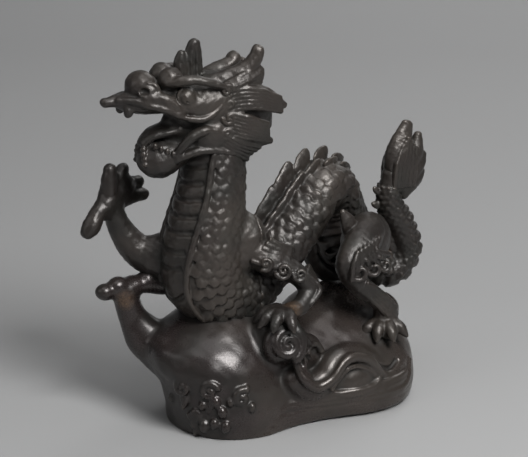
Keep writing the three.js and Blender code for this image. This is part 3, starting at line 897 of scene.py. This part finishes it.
def layHead():
    headLobe((0, 0, 3), (13, 9.3, 8.6), blend=0)
    headBar(head["snout"], blend=2)
    headBar(head["chin"], blend=2)
    headLobe((-15.6, 0, -13.4), (6.9, 6.5, 6), (0, -6, 0), blend=1.6)
    headLobe((-8, 0, -4), (7, 5.2, 6), blend=1.5)
    headBar(head["tongue"], blend=1)
    headBar([(4, 0, 2, 8, 8), (11, 0, 0, 7.4, 8), (16, 0, -4, 5, 6), (19, 0, -7, 2.4, 3)], blend=2)
    headLobe((-21, 0, 9.3), (4.9, 5.6, 4.9), (0, -8, 0), blend=0.9)
    headBar([(-17.2, -7, 7, 0.7), (-17.2, 0, 13.6, 0.9), (-17.2, 7, 7, 0.7)], blend=0.8, cut=True,
            across=(1, 0, 0))
    headBar(head["crestTall"], blend=0.9)
    headBar(head["crestShort"], blend=0.7)
    for side in (-1, 1):
        layFace(side)
        layMane(side)
    for x, lean in ((-2.6, 0.1), (-4.5, 0.05), (-6.2, 0), (-8.2, -0.05), (-9.6, -0.1)):
        for side in (-1, 1):
            tall = 19.5 if x > -5.5 else 15.5
            headBar([(x, 2.2 * side, 9, 0.5), (x + lean, 2 * side, 14, 0.5),
                     (x + 3 * lean, 1.7 * side, tall, 0.3)], 0.4, True)


def layFace(side):
    # nose wing and nostril
    headLobe((-20.4, side * 4.9, 8.3), (3.2, 2.2, 2.9), blend=0.7)
    headLobe((-22.6, side * 6.2, 9.2), (1.7, 1.6, 1.3), (0, 20, 0), blend=0.4, cut=True)
    headBar(onSide([(-18.7, 6, 6.6, .6), (-17.9, 6.3, 8.6, .8), (-18.8, 5.9, 10.7, .8),
                    (-21, 5.1, 11.4, .5)], side), 0.3)
    # lip ridge, fang and the ridge from the nose to the cheek
    headBar(onSide([(-29, 2.2, 6.3, .9), (-25, 4.6, 6.2, 1.1), (-20.5, 6.6, 4.8, 1.2),
                    (-15.5, 7.9, 3.2, 1.2),
                    (-12, 8.4, 1.4, 1.1), (-10.6, 8.2, .4, .7)], side), 0.6)
    headBar(onSide([(-27, 4, 3.9, .4), (-22, 6.2, 3.1, .5), (-17, 7.4, 1.5, .5), (-13, 7.9, .3, .4)],
                   side), 0.5, True)
    headBar(onSide([(-21.6, 5.4, 6.8, 1.6), (-17, 6.8, 6.6, 1.9), (-13.5, 7.6, 4.8, 1.8),
                    (-11.2, 8.2, 2.8, 1)], side), 0.9)
    headLobe((-26.4, side * 3.2, 2.8), (1.5, 1.3, 1.8), (0, 12, 0), blend=1.2)
    # forehead bulge, eye hollow, eyeball with its ring, lids and brow
    headLobe((-12.9, side * 3.5, 11.3), (3.8, 3.7, 3.9), (0, 20, 0), blend=0.9)
    headLobe((-14.4, side * 6.4, 8.7), (1.7, 1.5, 1.5), (0, 20, 0), blend=0.6, cut=True)
    x, y, z = head["eye"]
    size = head["eyeSize"]
    headLobe((x + .6, side * (y + 1.6), z + .3), (4.5, 2.1, 3.2), (0, 5, 0), blend=0.8, cut=True)
    headBar(onSide([(-12.4, 8.4, 8.6, 0.8), (-8, 9.2, 9.5, 1.2), (-3.5, 9.8, 9, 1.2), (0.4, 9.8, 7.6, .6)],
                   side), 0.5, True)
    headLobe((x, side * y, z), (size, size, size), blend=0.15)
    ring(side, (x - .1, y + 1.75, z), 1.15, 0.3, cut=True)
    ring(side, (x, y + 0.5, z), size + 0.15, 0.42)
    headBar(onSide([(-14.6, 5.8, 10.9, 1.3), (-11.5, 7.8, 11.6, 1.7), (-7.6, 9, 11.9, 1.8, 1.5),
                    (-3.5, 9.5, 11, 1.6, 1.3),
                    (0, 9.5, 9.8, 1.2), (2.6, 9.2, 8.6, .6)], side), 0.5)
    # cheek with its lower rim
    headLobe((-4.6, side * 7, 3), (7.2, 3, 4.2), (0, 14, 0), blend=1.2)
    headBar(onSide([(-12.2, 8, 1.2, .5), (-9, 9.1, .2, .9), (-5.5, 9.7, -.2, .95), (-2, 9.7, 1, .8),
                    (1, 9.4, 3, .4)], side), 0.4)
    # jaw, the fold at the mouth's corner, lower teeth and the rim of the jaw
    headLobe((-0.6, side * 6.4, -6.2), (6, 3.2, 5.4), blend=1.4)
    headBar(onSide([(-12.4, 6.2, -11, 1), (-10.4, 7.2, -8.2, 1.4), (-7.6, 8, -5.4, 1.6),
                    (-4, 8.7, -4, 1.4), (-.4, 8.7, -4.6, .8)],
                   side), 0.6)
    headBar(onSide([(-12, 5.8, -12.6, 1.3), (-6, 7.4, -10.6, 1.3), (0, 8.4, -10.7, 1.2),
                    (4.6, 8.4, -12.2, .9)], side), 0.6)
    headLobe((-16.4, side * 5.6, -8.6), (2.6, 1.3, 1), (0, 20, 0), blend=0.5, cut=True)
    for k in range(4):
        headLobe((-18.6 + 1.7 * k, side * (4.6 + .55 * k), -8.2 - .9 * k), (.7, .7, 1.1), blend=0.2)
    for k in range(4):
        headLobe((-21.4 - .2 * (k % 2), side * (2.2 + .4 * k), -9.4 - 1.5 * k), (1, 1, .9), blend=0.5)
    # horn: both are stubs bent upwards, the left one stands higher
    high = 1.4 if side < 0 else -1.2
    headBar(onSide([(0, 3.4, 9, 2.6), (6, 4.6, 10.8, 2.6), (10.6, 5.4, 12.4 + high * .3, 2.5),
                    (12.7 - side, 5.8, 14.6 + high * .8, 2.3),
                    (13 - side * 1.4, 6, 15.8 + high * 1.6, 2)], side), 0.8)


def ring(side, middle, radius, tube, cut=False):
    lean = math.radians(14)
    turns = np.linspace(0, 2 * math.pi, 25)
    rows = [
        (middle[0] + radius * math.cos(a), side * (middle[1] - radius * math.sin(a) * math.sin(lean)),
         middle[2] + radius * math.sin(a) * math.cos(lean), tube) for a in turns
    ]
    headBar(rows, 0.15, cut, spacing=0.4)


def layMane(side):
    headLobe((6, side * 5, -3), (7.5, 3.6, 9), (0, 10, 0), blend=1.5)
    headBar(onSide([(2, 6, 4.6, 2, 2), (9, 7.6, 5, 1.8, 3.6), (16, 7.8, 3, 1.6, 4),
                    (20, 7.6, 1.4, 1.2, 2.6), (22.6, 7.4, .6, .9, 1.2)],
                   side), 0.8)
    headBar(onSide([(2, 6.4, 7, 1.4, 2), (8, 7.6, 8.6, 1.5, 3), (13, 7, 10, 1.2, 3.2),
                    (15, 6.4, 12.6, .9, 1.6)], side), 0.8)
    headBar(onSide([(1, 5.8, -3, 2, 2), (8, 7.6, -6.4, 1.7, 3.6), (14, 7.4, -9, 1.4, 2.6),
                    (18, 7, -10, 1, 1.1)], side), 0.8)
    headBar(onSide([(0, 5.8, -7, 1.8, 2), (5.6, 7.2, -10.8, 1.6, 2.8), (10.4, 6.2, -15, 1, 1)], side), 0.8)
    locks = fan(((1, 7.4, 6.6), (2, 7.6, 1)), ((10, 9.4, 7.6), (11, 9.4, 1.6)),
                ((21.4, 7.8, 3), (21.8, 7.8, -1)), 6, .85, side)
    locks += fan(((3, 8, 1), (1, 7.4, -5)), ((9.6, 9.7, -1.2), (8, 9.3, -7.4)),
                 ((17, 8, -4.6), (17.6, 7.4, -10)), 7, .8, side)
    locks += fan(((1, 7.6, -4), (-1, 7.2, -8.6)), ((6, 9.2, -8.2), (4.4, 8.4, -11.6)),
                 ((14.6, 7.4, -11.6), (9.8, 6.4, -15)), 5, .8, side)
    locks += fan(((1.6, 7.6, 7.4), (3, 7.4, 9)), ((7.4, 9, 9), (8, 8.2, 11.4)),
                 ((14.8, 7, 11.4), (12.4, 6.6, 12.6)), 4, .8, side)
    strands("head", locks, blend=0.35)
    for x, z, size, start in ((3, 7.6, 1.9, 0), (3.8, 3.6, 2, 90), (3.6, -1, 2, 180),
                              (2.8, -5.6, 1.8, 240)):
        p = onHead([(x, side * 8.9, z)])[0]
        curl("head", p, headTurn @ np.array((-.1, side, 0)), size, .7, 1.3, start, .3)


legs = {
    "raised": [
        (-20, 6, 52, 8, 8), (-29, 11, 50, 6.8, 7.6), (-36, 14.5, 51.5, 5, 5.4), (-40.5, 16.2, 57, 4, 4.3),
        (-43.4, 17, 63.5, 3.4, 3.5), (-45, 17, 70, 3, 4.2), (-45.5, 17, 73.5, 2, 3),
    ],
    "leftFore": [
        (-9.5, -8, 54, 4.6, 5), (-3.5, -12, 49.2, 4.3, 4.4), (3.2, -14.6, 45.4, 3.6, 3.4),
        (5.8, -16.4, 40.4, 3.1),
        (1.6, -18.6, 36.8, 2.9), (-4, -19.8, 36, 3, 2.6),
    ],
    "leftHind": [
        (34, -8, 52, 6, 6.5), (27, -13, 49.5, 5.4, 5.6), (21.5, -16, 45, 4, 4.4), (25, -17, 38.5, 3.6),
        (31, -17, 33.4, 3.4, 3.2), (35, -16.8, 28.4, 3.4, 3.2), (34, -17, 23, 3.8, 3.4),
    ],
    "rightHind": [
        (38, 16, 45, 5.4, 6), (31.5, 18.4, 40.5, 4, 4.4), (32.5, 18, 34, 3.6), (37.5, 15.4, 28.6, 3.6, 3.4),
        (38, 13.6, 22, 3.6, 3.4),
    ],
    "curls": [  # rolled hair at the left shoulder, elbow and hip
        ("arms", (-3.5, -17, 48.6), (-.4, -1, .3), 2.6, .8, 1.5, 200),
        ("arms", (1.6, -18.4, 46.8), (-.3, -1, .3), 2.3, .75, 1.5, 160),
        ("arms", (-8.4, -14.4, 51), (-.5, -1, .2), 2.2, .7, 1.3, 240),
        ("legs", (22.6, -20.4, 44.4), (-.4, -1, .3), 4.2, 1, 1.2, 60),
        ("legs", (28.6, -19.6, 44.4), (-.3, -1, .3), 3.8, 1, 1.1, 60),
        ("legs", (34, -18, 44), (-.2, -1, .3), 3.2, .9, 1.1, 60),
    ],
    "locks": [  # first and last lock at the roots, the middles and the tips; how many, how thick
        ("arms", ((-12, -11.5, 52), (-6, -12.4, 58)), ((-7, -14.6, 50), (-3, -13, 56)),
         ((-1.5, -16, 49), (2.4, -12.6, 53.6)), 6, .7),
        ("arms", ((4.6, -17, 46.4), (7.4, -13.6, 47.6)), ((8.4, -19, 41), (9.6, -15, 42)),
         ((3.6, -20.6, 37), (6.4, -18, 36)), 5, .6),
        ("legs", ((22.6, -19.4, 51), (33, -16, 53)), ((20, -20.6, 47), (30, -18.6, 50)),
         ((19.6, -20, 41.6), (36, -17.6, 47)), 7, .7),
        ("legs", ((25, -20.4, 40.4), (23.2, -19.4, 38.4)), ((31.6, -20.8, 35.4), (29, -20, 32.6)),
         ((37.4, -19.8, 29.4), (33.6, -20.2, 27.6)), 5, .7),
    ],
    "fingers": [  # root and tip of each finger of the raised hand
        (-46, 16, 71, -45.4, 16, 79.4), (-43.5, 17.5, 71, -40, 18, 78.2), (-42, 18.4, 70, -33.8, 20, 72.8),
        (-42, 18, 67.6, -33, 18.4, 69),
    ],
}


def layPaw(part, at, heading, spread, reach, drop):
    for turn in spread:
        a = math.radians(heading + turn)
        x, y = math.cos(a), math.sin(a)
        bar(part, [
            (at[0] - x, at[1] - y, at[2], 2.2),
            (at[0] + x * reach * .35, at[1] + y * reach * .35, at[2] + .9, 2.3),
            (at[0] + x * reach * .7, at[1] + y * reach * .7, at[2] + .3, 1.9),
            (at[0] + x * reach * .86, at[1] + y * reach * .86, at[2] - drop * .4, 1.5),
            (at[0] + x * reach, at[1] + y * reach, at[2] - drop, .7),
        ], blend=0.5)
        lobe(part, (at[0] + x * reach * .55, at[1] + y * reach * .55, at[2] + .9), (1.9, 1.9, 1.7),
             blend=0.3)


def curl(part, middle, outward, radius, tube, turns=1.4, start=0.0, blend=0.3):
    # a lock rolled into a flat spiral that lies on the skin
    out = unit(outward)
    right = unit(np.cross((0, 0, 1.0), out))
    up = np.cross(out, right)
    rows = []
    for share in np.linspace(0, 1, int(14 * turns)):
        a = math.radians(start) + share * turns * 2 * math.pi
        r = radius * (1 - .85 * share)
        p = np.array(middle) + right * math.cos(a) * r + up * math.sin(a) * r + out * share * tube * 0.6
        rows.append((*p, tube * (1 - .35 * share)))
    bar(part, rows, blend, across=out, spacing=0.6)


def locksAlong(part, roots, middles, tips, count, girth, blend=0.3):
    lines = []
    for k in range(count):
        share = k / max(count - 1, 1)
        knots = [np.array(a, float) * (1 - share) + np.array(b, float) * share for a,
                 b in (roots, middles, tips)]
        lines.append(spline([(*p, g) for p, g in zip(knots, (girth * .8, girth, girth * .4))], 0.9))
    strands(part, lines, blend=blend)


def layLegs():
    bar("arms", legs["raised"], blend=0)
    for x, y, z, tipX, tipY, tipZ in legs["fingers"]:
        bar("arms", [(x, y, z, 2.4), ((x + tipX) / 2, (y + tipY) / 2, (z + tipZ) / 2 + .8, 2.6),
                     (tipX, tipY, tipZ, 1.9)],
            0.6, across=(0.3, 1, 0.2))
        lobe("arms", (tipX, tipY, tipZ - .2), (2.1, 2, 1.9), blend=.4)
    lobe("arms", (-42, 17.4, 72.4), (5.6, 2.9, 5.6), blend=1)
    lobe("arms", (-47, 16, 67.6), (3.6, 2.8, 4.4), (0, 30, 0), blend=1)
    bar("arms", [(-46, 16, 69.5, 2.8), (-50.5, 15, 66.5, 2.5), (-53.2, 14.2, 62.8, 2.9),
                 (-54.6, 14, 61.4, 2.2)], 0.8)
    lobe("arms", (-10.5, -5.5, 55.5), (6, 6, 9), (0, 14, 0), blend=1)
    bar("arms", legs["leftFore"], blend=1.5)
    layPaw("arms", (-5, -20, 35.6), 180, (-35, 0, 35, 75), 9, 2.4)
    bar("legs", legs["leftHind"], blend=1)
    layPaw("legs", (34, -17.4, 23.4), 215, (-35, 5, 45, 90), 8, 2.4)
    bar("legs", [(27, -8, 54, 2, 2.8), (25.5, -9, 57.5, 1.8, 2.6), (23.5, -9, 61, .8, 1)], 0.6)
    bar("legs", legs["rightHind"], blend=1)
    layPaw("legs", (37.5, 14, 24.6), 155, (-45, 0, 45), 8, 2.6)
    # the heel and pad of the left hind foot, then the hair
    lobe("legs", (35, -17.6, 27.4), (4.2, 3.6, 3.6), blend=1)
    lobe("legs", (34, -19, 22.6), (5, 4.2, 2.8), blend=1)
    for values in legs["curls"]:
        curl(*values)
    for values in legs["locks"]:
        locksAlong(*values)


brush = {
    "leaves": [  # x and z of the root and the tip, and half the width
        (50.5, 66, 54.5, 83.5, 4.4), (49.5, 66, 50.5, 79, 3), (52.5, 66, 59, 79, 3.2),
        (53, 65, 61, 72.5, 2.6),
        (53, 63, 60.5, 67, 2.4),
    ],
    "strands": 6,
}


def layBrush():
    for x, z, tipX, tipZ, wide in brush["leaves"]:
        bulge = 1.6 if x > 51 else -.8
        bar("brush", [(x, 0, z - 3, 3, wide * .8), ((x + tipX) / 2 + bulge, 0, (z + tipZ) / 2, 3, wide),
                      (tipX, 0, tipZ - .3, 1.4, wide * .5)], 0.7)
    for side in (-1, 1):
        lines = []
        for k in range(brush["strands"]):
            x = 47.8 + 1.5 * k
            lines.append(spline([(x, side * 2.9, 63, .4), (x + .6, side * 3.3, 71, .6),
                                 (51.6 + .9 * k, side * 2.4, 79.5 - abs(k - 2) * 1.2, .3)]))
        strands("brush", lines, blend=0.3)


fins = {
    "small": [  # from, to, how many, height, width
        (16, 50, 9, 2.6, 3.6), (134, 142, 2, 3, 3.6), (160, 186, 9, 3.2, 3),
    ],
    "hump": [(-16, 5.4), (6, 8.6)],  # degrees from the middle of the back, greatest height
}


def layTrunkDetails():
    flames = []
    for low, high, count, tall, wide in fins["small"]:
        for run in np.linspace(low, high, count):
            at, out, along = skinPoint(run, 0, -1.2)
            flames.append((at, out, along, (1, wide / 4, (tall + 1.2) / 8)))
    for around, tallest in fins["hump"]:
        for k, run in enumerate(np.linspace(76, 112, 9)):
            at, out, along = skinPoint(run, around, -1.6)
            tall = tallest * (.62 + .38 * math.sin(math.pi * (k + .6) / 9.2))
            rise = unit(out + along * .45)
            flames.append((at, rise, along, (1.2, 2.0, (tall + 1.0) / 8)))
    instances("trunk", "flameRow", flames, {
        "Thickness": 1.7, "Width": 4.0, "Height": 8.0, "Bend": 0.45, "Uneven": 0.05, "Seed": 4,
    }, blend=0.3)
    # the cord that borders the belly, and the belly plates between the two cords
    for side in (-1, 1):
        rows = []
        for run in np.arange(3, 56, 1.5):
            edge = np.interp(run, [0, 20, 40, 56], [119, 125, 139, 146])
            at, _, _ = skinPoint(run, side * edge, 0.5)
            rows.append((*at, 1.0))
        bar("trunk", rows, 0.35)
    grooves = []
    for run in np.arange(11, 54, 5.1):
        edge = np.interp(run, [0, 20, 40, 56], [125, 131, 144, 150])
        line = []
        for around in np.arange(edge, 360 - edge + 1, 6):
            sag = 1.3 * math.sin(math.pi * (around - edge) / (360 - 2 * edge))
            at, _, _ = skinPoint(run + sag, around, 0.1)
            line.append((*at, .55))
        grooves.append(np.array(line))
    for run in np.arange(104, 186, 3.4):
        line = []
        small = np.interp(run, [104, 150, 186], [.5, .45, .3])
        edge = np.interp(run, [104, 112, 150, 186], [108, 90, 100, 110])
        for around in np.arange(edge, 360 - edge + 1, 6):
            at, _, _ = skinPoint(run, around, 0.1)
            line.append((*at, small))
        grooves.append(np.array(line))
    strands("trunk", grooves, blend=0.7, cut=True)


def blurred(field, cells):
    # three running means along each axis come close to a soft round blur
    size = max(int(round(cells)), 1)
    out = field
    for axis in range(3):
        for _ in range(2):
            out = runningMean(out, size, axis)
    return out


def runningMean(field, half, axis):
    pad = [(0, 0)] * 3
    pad[axis] = (half + 1, half)
    total = np.cumsum(np.pad(field, pad, mode="edge"), axis=axis, dtype=np.float32)
    width = 2 * half + 1
    high = np.take(total, range(width, total.shape[axis]), axis=axis)
    low = np.take(total, range(0, total.shape[axis] - width), axis=axis)
    return (high - low) / width


def sample(field, block, points):
    # the field's value at points in casting millimetres
    place = np.asarray(points, float) / block.cell - block.start
    first = np.clip(np.floor(place).astype(int), 0, np.array(field.shape) - 2)
    part = np.clip(place - first, 0, 1)
    value = np.zeros(len(points))
    for corner in range(8):
        bits = [(corner >> k) & 1 for k in range(3)]
        weight = np.ones(len(points))
        for k in range(3):
            weight = weight * (part[:, k] if bits[k] else 1 - part[:, k])
        value += weight * field[first[:, 0] + bits[0], first[:, 1] + bits[1], first[:, 2] + bits[2]]
    return value


def skinOf(block, field):
    # the surface where the field is zero, as points and quads that face outwards
    edge = 3 * block.cell
    grid = vdb.FloatGrid(edge)
    grid.copyFromArray(np.clip(field, -edge, edge), ijk=tuple(int(s) for s in block.start), tolerance=0)
    grid.transform = vdb.createLinearTransform(voxelSize=block.cell)
    points, quads = grid.convertToQuads(isovalue=0)
    a, b, c, d = (points[quads[:, k]].astype(float) for k in range(4))
    volume = (a * (np.cross(b, c) + np.cross(c, d))).sum()
    if volume < 0:
        quads = quads[:, ::-1]
    return points, quads


def roughen(mesh, waves):
    # the slight unevenness of a rough casting, as many small ripples in all directions
    count = len(mesh.vertices)
    at, normal = np.zeros(count * 3, np.float32), np.zeros(count * 3, np.float32)
    mesh.vertices.foreach_get("co", at)
    mesh.vertex_normals.foreach_get("vector", normal)
    at, normal = at.reshape(-1, 3), normal.reshape(-1, 3)
    chance = np.random.default_rng(7)
    push = np.zeros(count, np.float32)
    for _ in range(wear["ripples"]):
        heading = unit(chance.normal(size=3)) * (2 * math.pi / (chance.uniform(*waves) * mm))
        push += np.sin(at @ heading.astype(np.float32) + np.float32(chance.uniform(0, 6.28)))
    bottom = np.clip((at[:, 2] - cadLow.z) / (1.5 * mm), 0, 1)
    at += normal * (push / wear["ripples"] ** .5 * wear["ripple"] * mm * bottom)[:, None]
    mesh.vertices.foreach_set("co", at.ravel())
    mesh.update()


wear = {
    "ripples": 14, "ripple": 0.07,  # how many small ripples make the skin uneven, and how high they are
    "cloud": (3.5, 9), "dragon": (1.6, 4.5),  # shortest and longest ripple
    "fineBlur": 0.45, "wideBlur": 2.0,  # how far round a point the ridges and recesses are felt
    "polishSpots": [((-45, 9, 39), 3.0), ((-3, -21, 37), 3.0), ((47, 0, 40), 2.0)],  # rubbed warm by hands
}


def everythingBlurred():
    # a rough block of everything together tells how deep in a recess any point lies, also where one piece
    # meets another; the finish paints shade and dust there
    block = filled((-62, -36, -4), (68, 28, 126), 0.8, ["cloud", "trunk", "head", "arms", "legs", "brush"])
    everything = np.minimum.reduce(list(block.clay.values()))
    solid = np.clip(0.5 - everything / (2 * block.cell), 0, 1)
    return block, blurred(solid, wear["wideBlur"] / block.cell)


def makePiece(name, part, low, high, cell, finish, keep=None):
    cell *= casting["coarser"]
    block = filled(low, high, cell, [part])
    field = block.clay[part]
    if keep is not None:
        field = np.maximum(field, keep(*block.axes(tuple(slice(0, n) for n in block.shape))))
    points, quads = skinOf(block, field)
    solid = np.clip(0.5 - field / (2 * cell), 0, 1)
    fine = sample(blurred(solid, wear["fineBlur"] / cell), block, points)
    wide = sample(roughSolid, roughBlock, points)
    mesh = bpy.data.meshes.new(name)
    placed = onFrame(points)
    mesh.vertices.add(len(points))
    mesh.vertices.foreach_set("co", placed.astype(np.float32).ravel())
    mesh.loops.add(quads.size)
    mesh.loops.foreach_set("vertex_index", quads.astype(np.int32).ravel())
    mesh.polygons.add(len(quads))
    mesh.polygons.foreach_set("loop_start", np.arange(0, quads.size, 4, dtype=np.int32))
    mesh.polygons.foreach_set("use_smooth", np.ones(len(quads), bool))
    mesh.update(calc_edges=True)
    mesh.validate()
    roughen(mesh, wear[finish])
    ridge = np.clip((0.47 - fine) / 0.16, 0, 1)
    # hollow marks recesses: the finish darkens them as dust and as painted shade, and gathers verdigris
    # there
    hollow = np.clip((fine - 0.52) / 0.16, 0, 1) * 0.6 + np.clip((wide - 0.5) / 0.22, 0, 1) * 0.8
    polish = np.zeros(len(points))
    for spot, radius in wear["polishSpots"]:
        away = np.linalg.norm(points - np.array(spot), axis=1) / radius
        polish = np.maximum(polish, np.clip(1.3 - away, 0, 1))
    for label, data in (("ridge", ridge), ("hollow", np.clip(hollow, 0, 1)), ("polish", polish)):
        mesh.attributes.new(label, "FLOAT", "POINT").data.foreach_set("value", data.astype(np.float32))
    mesh.materials.append(finishes[finish])
    piece = bpy.data.objects.new(name, mesh)
    bpy.context.scene.collection.objects.link(piece)
    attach(piece, "root")
    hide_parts(casting["node"])
    print(f"dragon: {name}, {len(quads) * 2} triangles")
    return piece


layBase()
guide = filled((-60, -34, -2), (66, 26, 50), 0.6, ["cloud"])  # what the relief on the base is set upon
layWaves()
layTrunk()
layScales()
layTrunkDetails()
layHead()
layLegs()
layBrush()

pieces = {  # clay, corners of its block, grain, finish, and where it is cut off
    "cloudBase": ("cloud", (-58, -34, -1), (64, 26, 50), 0.47, "cloud", lambda x, y, z: -z),
    "neckAndChest": ("trunk", (-40, -18, 20), (-6, 26, 96), 0.34, "dragon", lambda x, y, z: x + 8),
    "bodyAndTail": ("trunk", (-10, -18, 20), (64, 26, 96), 0.4, "dragon", lambda x, y, z: -x - 8),
    "dragonHead": ("head", (-58, -16, 74), (8, 18, 126), 0.31, "dragon"),
    "forelegs": ("arms", (-60, -30, 30), (14, 24, 84), 0.34, "dragon"),
    "hindLegs": ("legs", (14, -28, 18), (50, 26, 66), 0.34, "dragon"),
    "tailBrush": ("brush", (42, -8, 54), (68, 8, 88), 0.26, "dragon"),
}
roughBlock, roughSolid = everythingBlurred()
print("dragon: recesses measured")
for name, values in pieces.items():
    makePiece(name, *values)


def layFloor():
    mesh = bpy.data.meshes.new("paleFloor")
    far, bend, tall = 3.0, 0.5, 2.5
    profile = [(-far, 0.0), (bend, 0.0)]
    profile += [(bend + 0.6 * math.sin(a), 0.6 - 0.6 * math.cos(a)) for a in np.linspace(0.1, math.pi / 2,
                                                                                         12)]
    profile += [(bend + 0.6, tall)]
    a = math.radians(view["azimuth"])
    right = np.array([math.cos(a), math.sin(a)])
    away = np.array([-math.sin(a), math.cos(a)])
    points, faces = [], []
    for d, h in profile:
        for s in (-far, far):
            xy = right * s + away * d
            points.append((xy[0], xy[1], h))
    for k in range(len(profile) - 1):
        faces.append((2 * k, 2 * k + 1, 2 * k + 3, 2 * k + 2))
    mesh.from_pydata(points, [], faces)
    for face in mesh.polygons:
        face.use_smooth = True
    material = bpy.data.materials.new("palePaper")
    material.use_nodes = True
    shader = material.node_tree.nodes["Principled BSDF"]
    # painted light: the floor's colour brightens from 0.33 near the casting to 0.6 at the backdrop,
    # standing in for how light falls across the sweep
    where = addNode(material.node_tree, "ShaderNodeTexCoord", {})
    back = addNode(material.node_tree, "ShaderNodeVectorMath", {0: where.outputs["Object"]},
                   operation="DOT_PRODUCT")
    back.inputs[1].default_value = (away[0], away[1], 0)
    paintedLightRamp = addNode(material.node_tree, "ShaderNodeMapRange", {
        "Value": back.outputs["Value"], "From Min": 0.1, "From Max": 1.1, "To Min": 0.33, "To Max": 0.6,
    })
    material.node_tree.links.new(paintedLightRamp.outputs[0], shader.inputs["Base Color"])
    shader.inputs["Roughness"].default_value = 0.7
    mesh.materials.append(material)
    floor = bpy.data.objects.new("paleFloor", mesh)
    bpy.context.scene.collection.objects.link(floor)


def outwards(azimuth, elevation):
    a, e = math.radians(azimuth), math.radians(elevation)
    return Vector((math.sin(a) * math.cos(e), -math.cos(a) * math.cos(e), math.sin(e)))


def aim(thing, back):
    thing.rotation_mode = "QUATERNION"
    thing.rotation_quaternion = (-back).to_track_quat("-Z", "Y")


def addLight(name, azimuth, elevation, distance, size, power):
    lamp = bpy.data.lights.new(name, "AREA")
    lamp.shape = "DISK"
    lamp.size = size
    lamp.energy = power
    thing = bpy.data.objects.new(name, lamp)
    bpy.context.scene.collection.objects.link(thing)
    back = outwards(azimuth, elevation)
    thing.location = Vector((0, 0, 0.06)) + back * distance
    aim(thing, back)


view = {
    "azimuth": -32.0, "elevation": 18.0, "distance": 620.0,  # degrees and casting mm
    "lookAt": (0.0, 0.0, 57.0), "wideMm": 165.5,  # what the frame takes in, across, at that distance
}
lamps = {  # azimuth, elevation, distance, size and power
    "keyLight": (4, 46, 0.6, 0.3, 4.2),
    "fillLight": (-95, 30, 0.8, 0.6, 0.7),
    "topLight": (-30, 86, 0.8, 0.7, 1.7),
    "rimLight": (120, 35, 0.8, 0.4, 1.0),
}
layFloor()
for name, values in lamps.items():
    addLight(name, *values)


def setCamera():
    camera = bpy.data.objects.new("camera", bpy.data.cameras.new("camera"))
    bpy.context.scene.collection.objects.link(camera)
    back = outwards(view["azimuth"], view["elevation"])
    target = Vector(onFrame(view["lookAt"]))
    camera.location = target + back * view["distance"] * mm
    aim(camera, back)
    camera.data.sensor_width = 36.0
    camera.data.lens = 36.0 * view["distance"] / view["wideMm"]
    camera.data.clip_start, camera.data.clip_end = 0.01, 20.0
    bpy.context.scene.camera = camera


setCamera()
world = bpy.data.worlds.new("studio")
world.use_nodes = True
world.node_tree.nodes["Background"].inputs["Color"].default_value = (0.8, 0.82, 0.85, 1)
world.node_tree.nodes["Background"].inputs["Strength"].default_value = 0.12
bpy.context.scene.world = world
bpy.context.scene.view_settings.view_transform = "Standard"
